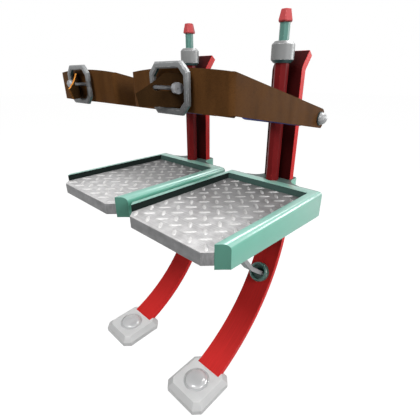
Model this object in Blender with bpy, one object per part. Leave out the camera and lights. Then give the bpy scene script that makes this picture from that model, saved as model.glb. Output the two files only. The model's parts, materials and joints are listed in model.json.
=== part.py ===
# A pair of jumping stilts: for each foot a diamond-plate deck in a cast side frame, a damper
# tube and a back bar behind it, a bowed leaf spring with its foot below, and a calf strap.
# Blender 4.5. Metres, +Z up, toes towards -Y, origin midway between the two treads at sole height.

import math

import bmesh
import bpy
from mathutils import Vector

MM = 0.001

# Clearances
SEAT_GAP = 0.3 * MM          # between pieces that rest against each other
RUN_GAP = 0.5 * MM           # between pieces that slide or turn past each other
OVERRUN = 6 * MM             # how far a cutter passes through what it cuts

# The pair
PAIR_GAP = 21 * MM         # between the two deck frames

# Tread: a plate with a skirt and ribs below, its top at height 0, its toe edge at y = 0
TREAD_HALF_WIDTH = 100 * MM
TREAD_LENGTH = 283 * MM
TREAD_DEPTH = 22.3 * MM
TREAD_CORNER_CUT = 13.6 * MM
TREAD_SKIN = 4 * MM
TREAD_SKIRT = 6 * MM
TREAD_RIB = 5 * MM
TREAD_PAD_HALF_WIDTH = 30 * MM
TREAD_POCKET_ROWS = 4
TREAD_EDGE_BEVEL = 0.8 * MM

# Deck frame: two side rails, a rear rail and the rear tab that carries the posts
RAIL_WIDTH = 17 * MM
RAIL_RISE = 12.7 * MM
RAIL_DROP_FRONT = 29 * MM
RAIL_DROP_REAR = 41.5 * MM
RAIL_ROUND = 9.5 * MM
RAIL_ROUND_STEPS = 4
RAIL_SLOPE_START = 24 * MM
RAIL_SLOPE_END = 300 * MM
REAR_RAIL_WIDTH = 31.5 * MM
LEDGE_WIDTH = 8 * MM
LEDGE_START = 45 * MM
FRAME_WALL = 4 * MM
FRAME_SKIN = 10 * MM
TAB_HALF_WIDTH = 36 * MM
TAB_REAR_WALL = 12.7 * MM
TAB_FILLET = 32 * MM
TAB_CORNER_RADIUS = 4 * MM
TAB_THICKNESS = 21 * MM
TAB_FRONT_WALL = 6 * MM
TAB_DROP = 40 * MM
TAB_STEP = 0.5 * MM          # the tab's top lies this far below the rear rail's
TAB_OVERLAP = 4 * MM
TAB_BEVEL = 1.2 * MM

# Damper: octagonal tube, collar, rod and cap on one upright axis
DAMPER_LEAD = 1.8 * MM      # how far the axis stands ahead of the rear rail's back face
DAMPER_SIDES = 8
DAMPER_TUBE_RADIUS = 14.1 * MM
DAMPER_TUBE_TOP = 262 * MM
DAMPER_SOCKET_DEPTH = 12 * MM
DAMPER_FLOOR = 5 * MM
COLLAR_RADIUS = 21.7 * MM
COLLAR_BOTTOM = 244 * MM
COLLAR_HEIGHT = 37 * MM
COLLAR_BEVEL = 5.5 * MM
COLLAR_SIDES = 24
ROD_RADIUS = 9.7 * MM
ROD_FOOT = 150 * MM
ROD_TRAVEL = 28 * MM
ROD_NECK_RADIUS = 5 * MM
ROD_NECK_LENGTH = 12 * MM
CAP_HEIGHT = 20.5 * MM
CAP_SIDES = 6
CAP_RADIUS = 14.6 * MM
CAP_TOP_RADIUS = 10 * MM
CAP_BEVEL = 2 * MM
CAP_LIFT = 2.4 * MM          # more than the travel, so that the cap never strikes the collar
COIL_RADIUS = 7.2 * MM
COIL_WIRE_RADIUS = 1.1 * MM
COIL_TURNS = 12
COIL_TURN_POINTS = 8

# Back bar: the flat upright behind the damper, flared back at its top
BAR_HALF_WIDTH = 33 * MM
BAR_THICKNESS = 15.3 * MM
BAR_FRONT_SETBACK = 18.2 * MM   # from the rear rail's back face to the bar's front face
BAR_BEND_HEIGHT = 229.7 * MM
BAR_BEND_RADIUS = 14 * MM
BAR_FLARE_LENGTH = 40 * MM
BAR_FLARE_ANGLE = math.radians(38)
BAR_SEAT_DEPTH = 15 * MM

# Leaf spring: a bow of one radius below the tab, hung on a pin through its rolled eye
LEAF_HALF_WIDTH = 31.5 * MM
LEAF_THICKNESS = 12 * MM
LEAF_RADIUS = 380 * MM
LEAF_BOW_TOP = -50 * MM
LEAF_BOW_ANGLE = math.radians(71)
LEAF_BOW_STEPS = 18
LEAF_EYE_HEIGHT = -30 * MM
LEAF_EYE_RADIUS = 11 * MM
LEAF_EYE_SETBACK = 34 * MM    # from the rear rail's back face to the pin
LEAF_PIN_RADIUS = 4 * MM
PIN_HEAD_RADIUS = 6.5 * MM
PIN_HEAD_LENGTH = 3 * MM
ROUND_SIDES = 16

# Foot block and the domed stud on it
FOOT_HALF_WIDTH = 53 * MM
FOOT_TOE_REACH = 77.016 * MM     # from the leaf's end forward to the toe
FOOT_LENGTH = 111.5 * MM
FOOT_CORNER_CUT = 14 * MM
FOOT_SOLE_DROP = 10.703 * MM     # from the leaf's end down to the sole
FOOT_WALL = 11 * MM
FOOT_HEIGHT = 22 * MM
FOOT_TOP_INSET = 11 * MM
STUD_SETBACK = 52 * MM          # from the foot's toe to the stud's middle
STUD_RADIUS = 28.5 * MM
STUD_DOME = 9 * MM
STUD_SEAT = 3 * MM
STUD_SIDES = 24
STUD_DOME_STEPS = 4

# Link: a bent arm from a slotted guide below the tread to a cup on the leaf
CUP_ANGLE = math.radians(28.5)
CUP_RADIUS = 24 * MM
CUP_RECESS_RADIUS = 17.5 * MM
CUP_HEIGHT = 16 * MM
CUP_FLOOR = 3 * MM
CUP_ROUND = 3 * MM
CUP_SPIGOT_RADIUS = 5 * MM
CUP_NUT_RADIUS = 9 * MM
CUP_NUT_THICKNESS = 5 * MM
CUP_PIN_HEIGHT = 10.5 * MM
LINK_PIN_RADIUS = 3 * MM
ARM_HALF_WIDTH = 11.5 * MM
ARM_THICKNESS = 9.5 * MM
ARM_EYE_RADIUS = 6 * MM
ARM_CRANK_REACH = 43.5 * MM      # from the lower pin forward to the arm's bend
ARM_CRANK_RISE = 34.3 * MM
GUIDE_SETBACK = 131 * MM         # from the tread's rear edge to the guide's rear end
GUIDE_LENGTH = 86 * MM
GUIDE_PIN_MARGIN = 24 * MM       # from the guide's rear end to the arm's upper pin at rest
GUIDE_PIN_DROP = 19.4 * MM       # from the guide's top to the pin
GUIDE_HALF_WIDTH = 28 * MM
GUIDE_WEB = 4.5 * MM
GUIDE_CHEEK = 5 * MM
GUIDE_DEPTH = 32 * MM
GUIDE_SLOT_TRAVEL = 48 * MM
GUIDE_SCREW_RADIUS = 2.5 * MM
GUIDE_SCREW_HEAD_RADIUS = 4.2 * MM
GUIDE_SCREW_HEAD = 3 * MM
GUIDE_SCREW_BITE = 11 * MM
GUIDE_SCREW_EDGE = 5 * MM
SCREW_SIDES = 8

# Calf strap: a leather band that pivots on two bolts at its back ends
STRAP_OVERHANG = 2 * MM          # how much wider than the tread the band is on each side
STRAP_THICKNESS = 4 * MM
STRAP_FRONT_Y = 38 * MM
STRAP_CORNER_Y = 45 * MM
STRAP_FRONT_LOW = 178 * MM
STRAP_FRONT_HIGH = 227.5 * MM
STRAP_CROWN = 5 * MM            # how much higher the top edge is in the middle than at the corners
STRAP_TAIL = 10.5 * MM              # from the bolt back to where the band's end is trimmed
STRAP_END_TRIM = 4 * MM
STRAP_REAR_LOW = 135 * MM
STRAP_REAR_HIGH = 168.5 * MM
STRAP_CORNER_STEPS = 4
STRAP_BOW_STEPS = 8
STRAP_BOLT_SETBACK = 26.5 * MM     # from the damper's axis forward to the bolts
STRAP_BOLT_Z = 153 * MM
BOLT_RADIUS = 4 * MM
BOLT_FLANGE_RADIUS = 12 * MM
BOLT_FLANGE = 2 * MM
BOLT_DOME_RADIUS = 10.5 * MM
BOLT_DOME = 10.5 * MM
BOLT_DOME_STEPS = 3
BOLT_TAIL_RADIUS = 6.5 * MM
BOLT_TAIL = 4 * MM

# Strap's free end: lies on the band behind the buckle's bar, then springs forward to its point
END_THICKNESS = 3 * MM
END_ROOT_X = 35 * MM
END_BEND_X = 22 * MM
END_TIP_X = -26 * MM
END_TIP_REACH = 40 * MM         # how far the point stands in front of the root
END_TIP_TWIST = 5 * MM          # how much further forward the point is than its lower corner
END_LOW = 183.8 * MM
END_HIGH = 226 * MM
END_TIP_HIGH = 201 * MM
END_SHOULDER_X = 1 * MM
END_LIFT_SHARE = 0.35           # how much of the reach grows evenly; the rest is the curl
END_SLOT_HALF_HEIGHT = 3.8 * MM
END_SLOT_BACK = 9.5 * MM
END_SLOT_FRONT = 16 * MM

# Buckle: an eight-sided frame in front of the band, and its prong
BUCKLE_CENTRE_X = 2 * MM
BUCKLE_CENTRE_Z = 207 * MM
BUCKLE_HALF_WIDTH = 39 * MM
BUCKLE_HALF_HEIGHT = 33 * MM
BUCKLE_CORNER_CUT = 13 * MM
BUCKLE_BAR = 8.5 * MM
BUCKLE_DEPTH = 8 * MM
BUCKLE_BEVEL = 2 * MM
BUCKLE_NECK_RADIUS = 2.4 * MM
PRONG_EYE_RADIUS = 4.6 * MM
PRONG_EYE_HALF_HEIGHT = 4.5 * MM
PRONG_RADIUS = 2.8 * MM
PRONG_LENGTH = 61.5 * MM
PRONG_ANGLE = math.radians(6)
PRONG_HEAD_RADIUS = 7.2 * MM
PRONG_HEAD_LENGTH = 13 * MM
PRONG_FLARE = 5 * MM            # the tapered part of the head
PRONG_Z = 208 * MM
PRONG_SIDES = 8

# Calf cuff: a bent yoke on the damper tube, with a crowned pad inside it
YOKE_THICKNESS = 4 * MM
YOKE_HEIGHT = 26 * MM
YOKE_CORNER_RADIUS = 4 * MM
YOKE_CORNER_STEPS = 4
YOKE_BACK_SINK = 3.5 * MM       # how far the yoke's back bar is sunk into its ring
YOKE_ARM_REACH = 45 * MM         # from the bolts forward to the ends of the arms
YOKE_SLOPE = 0.184              # the arms rise forward with the strap
YOKE_RING_WALL = 4 * MM
YOKE_RING_TRIM = 3 * MM
PAD_HALF_WIDTH = 74 * MM
PAD_LOW = 133 * MM
PAD_HEIGHT = 36 * MM
PAD_EDGE = 6 * MM
PAD_CROWN = 13 * MM
PAD_PINCH_SHARE = 0.06          # how much lower the pad is at its ends
PAD_COLUMNS = 16
PAD_ROWS = 8

# Heights and places that follow from the sizes above
PAIR_PITCH = 2 * (TREAD_HALF_WIDTH + RAIL_WIDTH) + PAIR_GAP
TREAD_REAR = TREAD_LENGTH + SEAT_GAP
REAR_FACE = TREAD_REAR + REAR_RAIL_WIDTH
DAMPER_Y = REAR_FACE - DAMPER_LEAD
BAR_FRONT = REAR_FACE + BAR_FRONT_SETBACK
TAB_REAR = BAR_FRONT + BAR_THICKNESS + TAB_REAR_WALL
TAB_UNDERSIDE = RAIL_RISE - TAB_THICKNESS
LEAF_EYE_Y = REAR_FACE + LEAF_EYE_SETBACK
LEAF_CENTRE_Y = LEAF_EYE_Y - LEAF_RADIUS
LEAF_END_Y = LEAF_CENTRE_Y + LEAF_RADIUS * math.cos(LEAF_BOW_ANGLE)
LEAF_END_Z = LEAF_BOW_TOP - LEAF_RADIUS * math.sin(LEAF_BOW_ANGLE)
FOOT_TOE = LEAF_END_Y - FOOT_TOE_REACH
FOOT_BOTTOM = LEAF_END_Z - FOOT_SOLE_DROP
FOOT_TOP = FOOT_BOTTOM + FOOT_HEIGHT
GUIDE_TOP = -TREAD_DEPTH - SEAT_GAP
GUIDE_FRONT = TREAD_LENGTH - GUIDE_SETBACK - GUIDE_LENGTH
ARM_TOP_Y = GUIDE_FRONT + GUIDE_LENGTH - GUIDE_PIN_MARGIN
ARM_TOP_Z = GUIDE_TOP - GUIDE_PIN_DROP
STRAP_HALF_WIDTH = TREAD_HALF_WIDTH + STRAP_OVERHANG
STRAP_BOLT_Y = DAMPER_Y - STRAP_BOLT_SETBACK
STRAP_REAR_Y = STRAP_BOLT_Y + STRAP_TAIL
COLLAR_TOP = COLLAR_BOTTOM + COLLAR_HEIGHT
CAP_BOTTOM = COLLAR_TOP + ROD_TRAVEL + CAP_LIFT
BAND_INNER = STRAP_HALF_WIDTH - STRAP_THICKNESS
YOKE_OUTER = BAND_INNER - RUN_GAP
BUCKLE_Y = STRAP_FRONT_Y - END_THICKNESS - SEAT_GAP - SEAT_GAP - BUCKLE_DEPTH / 2
STANCE_Y = TREAD_LENGTH / 2


# Materials

def linear(channel):
    share = channel / 255
    return share / 12.92 if share <= 0.04045 else ((share + 0.055) / 1.055) ** 2.4


def make_material(name, colour, roughness, metallic):
    material = bpy.data.materials.new(name)
    material.use_nodes = True
    shader = material.node_tree.nodes["Principled BSDF"]
    shader.inputs["Base Color"].default_value = [linear(c) for c in colour] + [1.0]
    shader.inputs["Roughness"].default_value = roughness
    shader.inputs["Metallic"].default_value = metallic
    return material


def make_materials():
    return {
        "frame": make_material("sea_green_paint", (124, 198, 176), 0.35, 0.0),
        "tread": make_material("rolled_tread_alloy", (150, 148, 150), 0.45, 0.7),
        "spring": make_material("red_laminate", (196, 36, 38), 0.45, 0.0),
        "tube": make_material("red_tube_paint", (150, 36, 38), 0.4, 0.0),
        "cap": make_material("red_cap", (206, 76, 80), 0.5, 0.0),
        "rod": make_material("green_grey_rod", (112, 166, 152), 0.35, 0.3),
        "alloy": make_material("pale_alloy", (190, 190, 190), 0.35, 0.4),
        "foot": make_material("pale_foot_moulding", (206, 206, 206), 0.5, 0.0),
        "leather": make_material("brown_leather", (92, 60, 32), 0.7, 0.0),
        "pad": make_material("blue_pad_cover", (30, 60, 170), 0.7, 0.0),
        "steel": make_material("spring_steel", (150, 150, 152), 0.3, 1.0),
    }


# Outlines: flat shapes as lists of points

def rounded_outline(corners, steps):
    # corners are (a, b, radius); a radius of zero leaves the corner sharp
    points = []
    count = len(corners)
    for index, (a, b, radius) in enumerate(corners):
        corner = Vector((a, b))
        if radius == 0:
            points.append(corner)
            continue
        before = (Vector(corners[index - 1][:2]) - corner).normalized()
        after = (Vector(corners[(index + 1) % count][:2]) - corner).normalized()
        half_angle = math.acos(max(-1.0, min(1.0, before.dot(after)))) / 2
        centre = corner + (before + after).normalized() * (radius / math.sin(half_angle))
        start = corner + before * (radius / math.tan(half_angle)) - centre
        end = corner + after * (radius / math.tan(half_angle)) - centre
        sweep = start.angle_signed(end)
        for step in range(steps + 1):
            turn = -sweep * step / steps
            points.append(centre + turned_vector(start, turn))
    return points


def turned_vector(vector, angle):
    cosine, sine = math.cos(angle), math.sin(angle)
    return Vector((vector.x * cosine - vector.y * sine, vector.x * sine + vector.y * cosine))


def box_outline(a_low, a_high, b_low, b_high):
    return [Vector((a_low, b_low)), Vector((a_high, b_low)),
            Vector((a_high, b_high)), Vector((a_low, b_high))]


def circle_outline(centre, radius, sides, phase=0.0):
    return [centre + radius * Vector((math.cos(phase + math.tau * i / sides),
                                      math.sin(phase + math.tau * i / sides)))
            for i in range(sides)]


def slot_outline(start, end, radius, steps):
    along = (end - start).normalized()
    points = []
    for centre, first in ((end, -math.pi / 2), (start, math.pi / 2)):
        for step in range(steps + 1):
            points.append(centre + radius * turned_vector(along, first + math.pi * step / steps))
    return points


def bar_outline(path, half_thickness, start_eye=None, end_eye=None, eye_steps=12):
    # a strip of even thickness along a path, with a round eye at an end where a radius is given
    left, right = [], []
    for index in range(len(path)):
        before = (path[index] - path[max(index - 1, 0)])
        after = (path[min(index + 1, len(path) - 1)] - path[index])
        if before.length == 0:
            before = after
        if after.length == 0:
            after = before
        before, after = before.normalized(), after.normalized()
        bisector = (before + after).normalized()
        normal = Vector((-bisector.y, bisector.x))
        reach = half_thickness / normal.dot(Vector((-before.y, before.x)))
        left.append(path[index] + normal * reach)
        right.append(path[index] - normal * reach)
    start_arc, end_arc = [], []
    if start_eye:
        along = (path[1] - path[0]).normalized()
        meet = math.asin(half_thickness / start_eye)
        for step in range(eye_steps + 1):
            turn = -meet - (math.tau - 2 * meet) * step / eye_steps
            start_arc.append(path[0] + start_eye * turned_vector(along, turn))
        left, right = left[1:], right[1:]
    if end_eye:
        along = (path[-1] - path[-2]).normalized()
        meet = math.pi - math.asin(half_thickness / end_eye)
        for step in range(eye_steps + 1):
            turn = meet - 2 * meet * step / eye_steps
            end_arc.append(path[-1] + end_eye * turned_vector(along, turn))
        left, right = left[:-1], right[:-1]
    return start_arc + left + end_arc + right[::-1]


# Solids: each function adds one closed body to a bmesh

def on_axis(axis, a, b, depth):
    if axis == "x":
        return Vector((depth, a, b))
    if axis == "y":
        return Vector((a, depth, b))
    return Vector((a, b, depth))


def add_prism(bm, outline, axis, low, high):
    # the outline lies in the two other axes, in X, Y, Z order
    lower = [bm.verts.new(on_axis(axis, p.x, p.y, low)) for p in outline]
    upper = [bm.verts.new(on_axis(axis, p.x, p.y, high)) for p in outline]
    bm.faces.new(lower)
    bm.faces.new(upper)
    for i in range(len(outline)):
        j = (i + 1) % len(outline)
        bm.faces.new((lower[i], lower[j], upper[j], upper[i]))
    return lower, upper


def add_turned(bm, profile, centre, axis, sides, phase=0.0):
    # the profile is (radius, height) points in a closed loop; a zero radius makes a pole
    up = Vector(axis).normalized()
    across = Vector((1, 0, 0)) if abs(up.x) < 0.9 else Vector((0, 1, 0))
    first = (across - up * across.dot(up)).normalized()
    second = up.cross(first)
    rings = []
    for radius, height in profile:
        base = Vector(centre) + up * height
        if radius == 0:
            rings.append([bm.verts.new(base)])
            continue
        ring = []
        for i in range(sides):
            angle = phase + math.tau * i / sides
            ring.append(bm.verts.new(base + radius * (math.cos(angle) * first
                                                      + math.sin(angle) * second)))
        rings.append(ring)
    for index in range(len(rings)):
        near, far = rings[index], rings[(index + 1) % len(rings)]
        if len(near) == 1 and len(far) == 1:
            continue
        for i in range(sides):
            j = (i + 1) % sides
            corners = [near[i % len(near)], near[j % len(near)], far[j % len(far)], far[i % len(far)]]
            unique = list(dict.fromkeys(corners))
            bm.faces.new(unique)


def add_stations(bm, stations):
    # a loft through equal rings of points, closed at both ends
    rings = [[bm.verts.new(point) for point in ring] for ring in stations]
    bm.faces.new(rings[0])
    bm.faces.new(rings[-1])
    for near, far in zip(rings, rings[1:]):
        for i in range(len(near)):
            j = (i + 1) % len(near)
            bm.faces.new((near[i], near[j], far[j], far[i]))


# Objects: a body is drawn once for the outer side at +X and mirrored for the other stilt

class Stilt:
    def __init__(self, name, side, materials):
        self.name = name
        self.side = side
        self.materials = materials

    def world(self, point):
        x, y, z = point
        return Vector((self.side * (x + PAIR_PITCH / 2), y - STANCE_Y, z))

    def add(self, bm, piece, material, pivot=(0, 0, 0), sharp=35):
        origin = self.world(pivot)
        for vert in bm.verts:
            vert.co = self.world(vert.co) - origin
        bmesh.ops.recalc_face_normals(bm, faces=bm.faces)
        mesh = bpy.data.meshes.new(f"{self.name}_{piece}")
        bm.to_mesh(mesh)
        bm.free()
        mesh.shade_smooth()
        mesh.set_sharp_from_angle(angle=math.radians(sharp))
        mesh.materials.append(self.materials[material])
        body = bpy.data.objects.new(f"{self.name}_{piece}", mesh)
        body.location = origin
        bpy.context.collection.objects.link(body)
        return body

    def cut(self, body, bm, label):
        tool = self.add(bm, f"cut_{label}", "steel")
        tool.hide_render = True
        tool.display_type = "WIRE"
        self.change(body, tool, "DIFFERENCE", label)

    def join(self, body, bm, label):
        tool = self.add(bm, f"join_{label}", "steel")
        tool.hide_render = True
        tool.display_type = "WIRE"
        self.change(body, tool, "UNION", label)

    def change(self, body, tool, operation, label):
        modifier = body.modifiers.new(label, "BOOLEAN")
        modifier.operation = operation
        modifier.solver = "EXACT"
        modifier.object = tool


# Deck

def frame_outline():
    half, cut = TREAD_HALF_WIDTH, TREAD_CORNER_CUT
    outer = half + RAIL_WIDTH
    inner = half - LEDGE_WIDTH
    right = [(inner, cut - LEDGE_WIDTH, 0), (outer, cut + RAIL_WIDTH, 0),
             (outer, REAR_FACE, 0)]
    left = [(-x, y, radius) for x, y, radius in reversed(right)]
    throat = [(-inner, TREAD_REAR - LEDGE_WIDTH, 0), (inner, TREAD_REAR - LEDGE_WIDTH, 0)]
    return rounded_outline(right + left + throat, 5)


def tab_outline():
    front = TREAD_REAR + TAB_OVERLAP
    right = [(TAB_HALF_WIDTH + TAB_FILLET, front, 0),
             (TAB_HALF_WIDTH + TAB_FILLET, REAR_FACE - TAB_OVERLAP, 0),
             (TAB_HALF_WIDTH, REAR_FACE - TAB_OVERLAP, TAB_FILLET - TAB_OVERLAP),
             (TAB_HALF_WIDTH, TAB_REAR, TAB_CORNER_RADIUS)]
    left = [(-x, y, radius) for x, y, radius in reversed(right)]
    return rounded_outline(right + left, 6)


def octagon_radius(flat_radius):
    return flat_radius / math.cos(math.pi / DAMPER_SIDES)


def make_deck_frame(stilt):
    bm = bmesh.new()
    lower, upper = add_prism(bm, frame_outline(), "z", -RAIL_DROP_REAR, RAIL_RISE)
    flank = TREAD_HALF_WIDTH + RAIL_WIDTH - SEAT_GAP

    def on_crest(vert):
        return vert in upper and (abs(vert.co.x) > flank or vert.co.y > REAR_FACE - SEAT_GAP)

    crest = [edge for edge in bm.edges if all(on_crest(v) for v in edge.verts)]
    bmesh.ops.bevel(bm, geom=crest, offset=RAIL_ROUND, segments=RAIL_ROUND_STEPS, profile=0.5,
                    affect="EDGES", material=-1)
    frame = stilt.add(bm, "deck_frame", "frame", sharp=30)
    bm = bmesh.new()
    lower, upper = add_prism(bm, tab_outline(), "z", -TAB_DROP, RAIL_RISE - TAB_STEP)
    crest = [edge for edge in bm.edges if all(v in upper for v in edge.verts)]
    bmesh.ops.bevel(bm, geom=crest, offset=TAB_BEVEL, segments=1, profile=0.5,
                    affect="EDGES", material=-1)
    stilt.join(frame, bm, "rear_tab")

    deep = -RAIL_DROP_REAR - OVERRUN
    high = RAIL_RISE + OVERRUN
    bm = bmesh.new()
    shelf = -TREAD_DEPTH - SEAT_GAP
    recess = [Vector((-OVERRUN, deep)), Vector((LEDGE_START, deep)), Vector((LEDGE_START, shelf)),
              Vector((TREAD_REAR, shelf)), Vector((TREAD_REAR, high)), Vector((-OVERRUN, high))]
    add_prism(bm, recess, "x", -TREAD_HALF_WIDTH, TREAD_HALF_WIDTH)
    stilt.cut(frame, bm, "tread_space")
    bm = bmesh.new()
    slope = (RAIL_DROP_REAR - RAIL_DROP_FRONT) / (RAIL_SLOPE_END - RAIL_SLOPE_START)
    wedge = [Vector((-OVERRUN, deep)), Vector((RAIL_SLOPE_END + OVERRUN / slope, deep)),
             Vector((RAIL_SLOPE_START, -RAIL_DROP_FRONT)), Vector((-OVERRUN, -RAIL_DROP_FRONT))]
    reach = TREAD_HALF_WIDTH + RAIL_WIDTH + OVERRUN
    add_prism(bm, wedge, "x", -reach, reach)
    stilt.cut(frame, bm, "sloped_underside")

    # hollow underside of the rails, and the clevis below the tab for the leaf's eye
    bm = bmesh.new()
    outer = TREAD_HALF_WIDTH + RAIL_WIDTH - FRAME_WALL
    inner = TREAD_HALF_WIDTH + FRAME_WALL
    rail_front = TREAD_CORNER_CUT + RAIL_WIDTH + FRAME_WALL + FRAME_WALL
    rear_low = TREAD_REAR + FRAME_WALL
    rear_high = DAMPER_Y - DAMPER_TUBE_RADIUS - SEAT_GAP - FRAME_WALL
    channel = [(outer, rail_front), (outer, rear_high), (-outer, rear_high), (-outer, rail_front),
               (-inner, rail_front), (-inner, rear_low), (inner, rear_low), (inner, rail_front)]
    add_prism(bm, [Vector(p) for p in channel], "z", deep, RAIL_RISE - FRAME_SKIN)
    clevis_half = LEAF_HALF_WIDTH + RUN_GAP
    add_prism(bm, box_outline(-clevis_half, clevis_half, REAR_FACE + TAB_FRONT_WALL, TAB_REAR + OVERRUN),
              "z", deep, TAB_UNDERSIDE)
    bar_half = BAR_HALF_WIDTH + SEAT_GAP
    add_prism(bm, box_outline(-bar_half, bar_half, BAR_FRONT - SEAT_GAP,
                              BAR_FRONT + BAR_THICKNESS + SEAT_GAP),
              "z", RAIL_RISE - BAR_SEAT_DEPTH - SEAT_GAP, high)
    socket = circle_outline(Vector((0, DAMPER_Y)), DAMPER_TUBE_RADIUS + octagon_radius(SEAT_GAP),
                            DAMPER_SIDES, math.pi / DAMPER_SIDES)
    add_prism(bm, socket, "z", RAIL_RISE - DAMPER_SOCKET_DEPTH - SEAT_GAP, high)
    stilt.cut(frame, bm, "seats")

    bm = bmesh.new()
    add_prism(bm, circle_outline(Vector((LEAF_EYE_Y, LEAF_EYE_HEIGHT)), LEAF_PIN_RADIUS + SEAT_GAP,
                                 ROUND_SIDES),
              "x", -TAB_HALF_WIDTH - OVERRUN, TAB_HALF_WIDTH + OVERRUN)
    stilt.cut(frame, bm, "leaf_pin_hole")


def guide_screw_places():
    across = GUIDE_HALF_WIDTH - GUIDE_SCREW_EDGE
    along = GUIDE_FRONT + GUIDE_LENGTH / 2
    return {"inner": (-across, along), "outer": (across, along)}


def add_screw_holes(bm, low, high):
    for x, y in guide_screw_places().values():
        add_prism(bm, circle_outline(Vector((x, y)), GUIDE_SCREW_RADIUS + SEAT_GAP, SCREW_SIDES),
                  "z", low, high)


def make_tread_plate(stilt):
    half, cut = TREAD_HALF_WIDTH - SEAT_GAP, TREAD_CORNER_CUT
    outline = [(half - cut, 0), (half, cut), (half, TREAD_LENGTH),
               (-half, TREAD_LENGTH), (-half, cut), (cut - half, 0)]
    bm = bmesh.new()
    lower, upper = add_prism(bm, [Vector(p) for p in outline], "z", -TREAD_DEPTH, 0)
    rim = [edge for edge in bm.edges if all(v in upper for v in edge.verts)]
    bmesh.ops.bevel(bm, geom=rim, offset=TREAD_EDGE_BEVEL, segments=1, profile=0.5,
                    affect="EDGES", material=-1)
    plate = stilt.add(bm, "tread_plate", "tread", sharp=30)

    bm = bmesh.new()
    front, back = TREAD_CORNER_CUT + TREAD_RIB, TREAD_LENGTH - TREAD_SKIRT
    pitch = (back - front + TREAD_RIB) / TREAD_POCKET_ROWS
    guide_middle = GUIDE_FRONT + GUIDE_LENGTH / 2
    for row in range(TREAD_POCKET_ROWS):
        y = front + row * pitch
        holds_guide = y - TREAD_RIB < guide_middle < y + pitch
        inner = TREAD_PAD_HALF_WIDTH if holds_guide else TREAD_RIB / 2
        for sign in (-1, 1):
            edges = sorted((sign * inner, sign * (half - TREAD_SKIRT)))
            add_prism(bm, box_outline(edges[0], edges[1], y, y + pitch - TREAD_RIB),
                      "z", -TREAD_DEPTH - OVERRUN, -TREAD_SKIN)
    add_screw_holes(bm, -TREAD_DEPTH - OVERRUN, -TREAD_DEPTH + GUIDE_SCREW_BITE)
    stilt.cut(plate, bm, "pockets")


# Damper

def make_damper(stilt):
    centre = (0, DAMPER_Y, 0)
    phase = math.pi / DAMPER_SIDES
    bore = ROD_RADIUS + octagon_radius(SEAT_GAP)
    tube_foot = RAIL_RISE - DAMPER_SOCKET_DEPTH
    floor = tube_foot + DAMPER_FLOOR

    bm = bmesh.new()
    add_turned(bm, [(0, tube_foot), (DAMPER_TUBE_RADIUS, tube_foot),
                    (DAMPER_TUBE_RADIUS, DAMPER_TUBE_TOP), (bore, DAMPER_TUBE_TOP),
                    (bore, floor), (0, floor)], centre, (0, 0, 1), DAMPER_SIDES, phase)
    stilt.add(bm, "damper_tube", "tube", sharp=20)

    bm = bmesh.new()
    fit = 1 / math.cos(math.pi / COLLAR_SIDES)
    low_bore = (DAMPER_TUBE_RADIUS + SEAT_GAP) * fit
    high_bore = (ROD_RADIUS + SEAT_GAP) * fit
    shoulder = DAMPER_TUBE_TOP + SEAT_GAP
    add_turned(bm, [(low_bore, COLLAR_BOTTOM), (COLLAR_RADIUS - COLLAR_BEVEL, COLLAR_BOTTOM),
                    (COLLAR_RADIUS, COLLAR_BOTTOM + COLLAR_BEVEL),
                    (COLLAR_RADIUS, COLLAR_TOP - COLLAR_BEVEL),
                    (COLLAR_RADIUS - COLLAR_BEVEL, COLLAR_TOP), (high_bore, COLLAR_TOP),
                    (high_bore, shoulder), (low_bore, shoulder)],
               centre, (0, 0, 1), COLLAR_SIDES)
    stilt.add(bm, "damper_collar", "alloy", sharp=25)

    bm = bmesh.new()
    neck_top = CAP_BOTTOM + ROD_NECK_LENGTH
    add_turned(bm, [(0, ROD_FOOT), (ROD_RADIUS, ROD_FOOT), (ROD_RADIUS, CAP_BOTTOM - SEAT_GAP),
                    (ROD_NECK_RADIUS, CAP_BOTTOM - SEAT_GAP), (ROD_NECK_RADIUS, neck_top),
                    (0, neck_top)], centre, (0, 0, 1), DAMPER_SIDES, phase)
    stilt.add(bm, "damper_rod", "rod", pivot=(0, DAMPER_Y, COLLAR_TOP), sharp=20)

    bm = bmesh.new()
    cap_top = CAP_BOTTOM + CAP_HEIGHT
    add_turned(bm, [(0, CAP_BOTTOM), (CAP_RADIUS - CAP_BEVEL, CAP_BOTTOM),
                    (CAP_RADIUS, CAP_BOTTOM + CAP_BEVEL), (CAP_TOP_RADIUS, cap_top), (0, cap_top)],
               centre, (0, 0, 1), CAP_SIDES)
    cap = stilt.add(bm, "rod_cap", "cap", pivot=(0, DAMPER_Y, COLLAR_TOP), sharp=20)
    bm = bmesh.new()
    add_prism(bm, circle_outline(Vector((0, DAMPER_Y)), ROD_NECK_RADIUS + octagon_radius(SEAT_GAP),
                                 DAMPER_SIDES, phase),
              "z", CAP_BOTTOM - OVERRUN, neck_top + SEAT_GAP)
    stilt.cut(cap, bm, "cap_bore")

    make_damper_spring(stilt, floor + SEAT_GAP, ROD_FOOT - SEAT_GAP)


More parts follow.
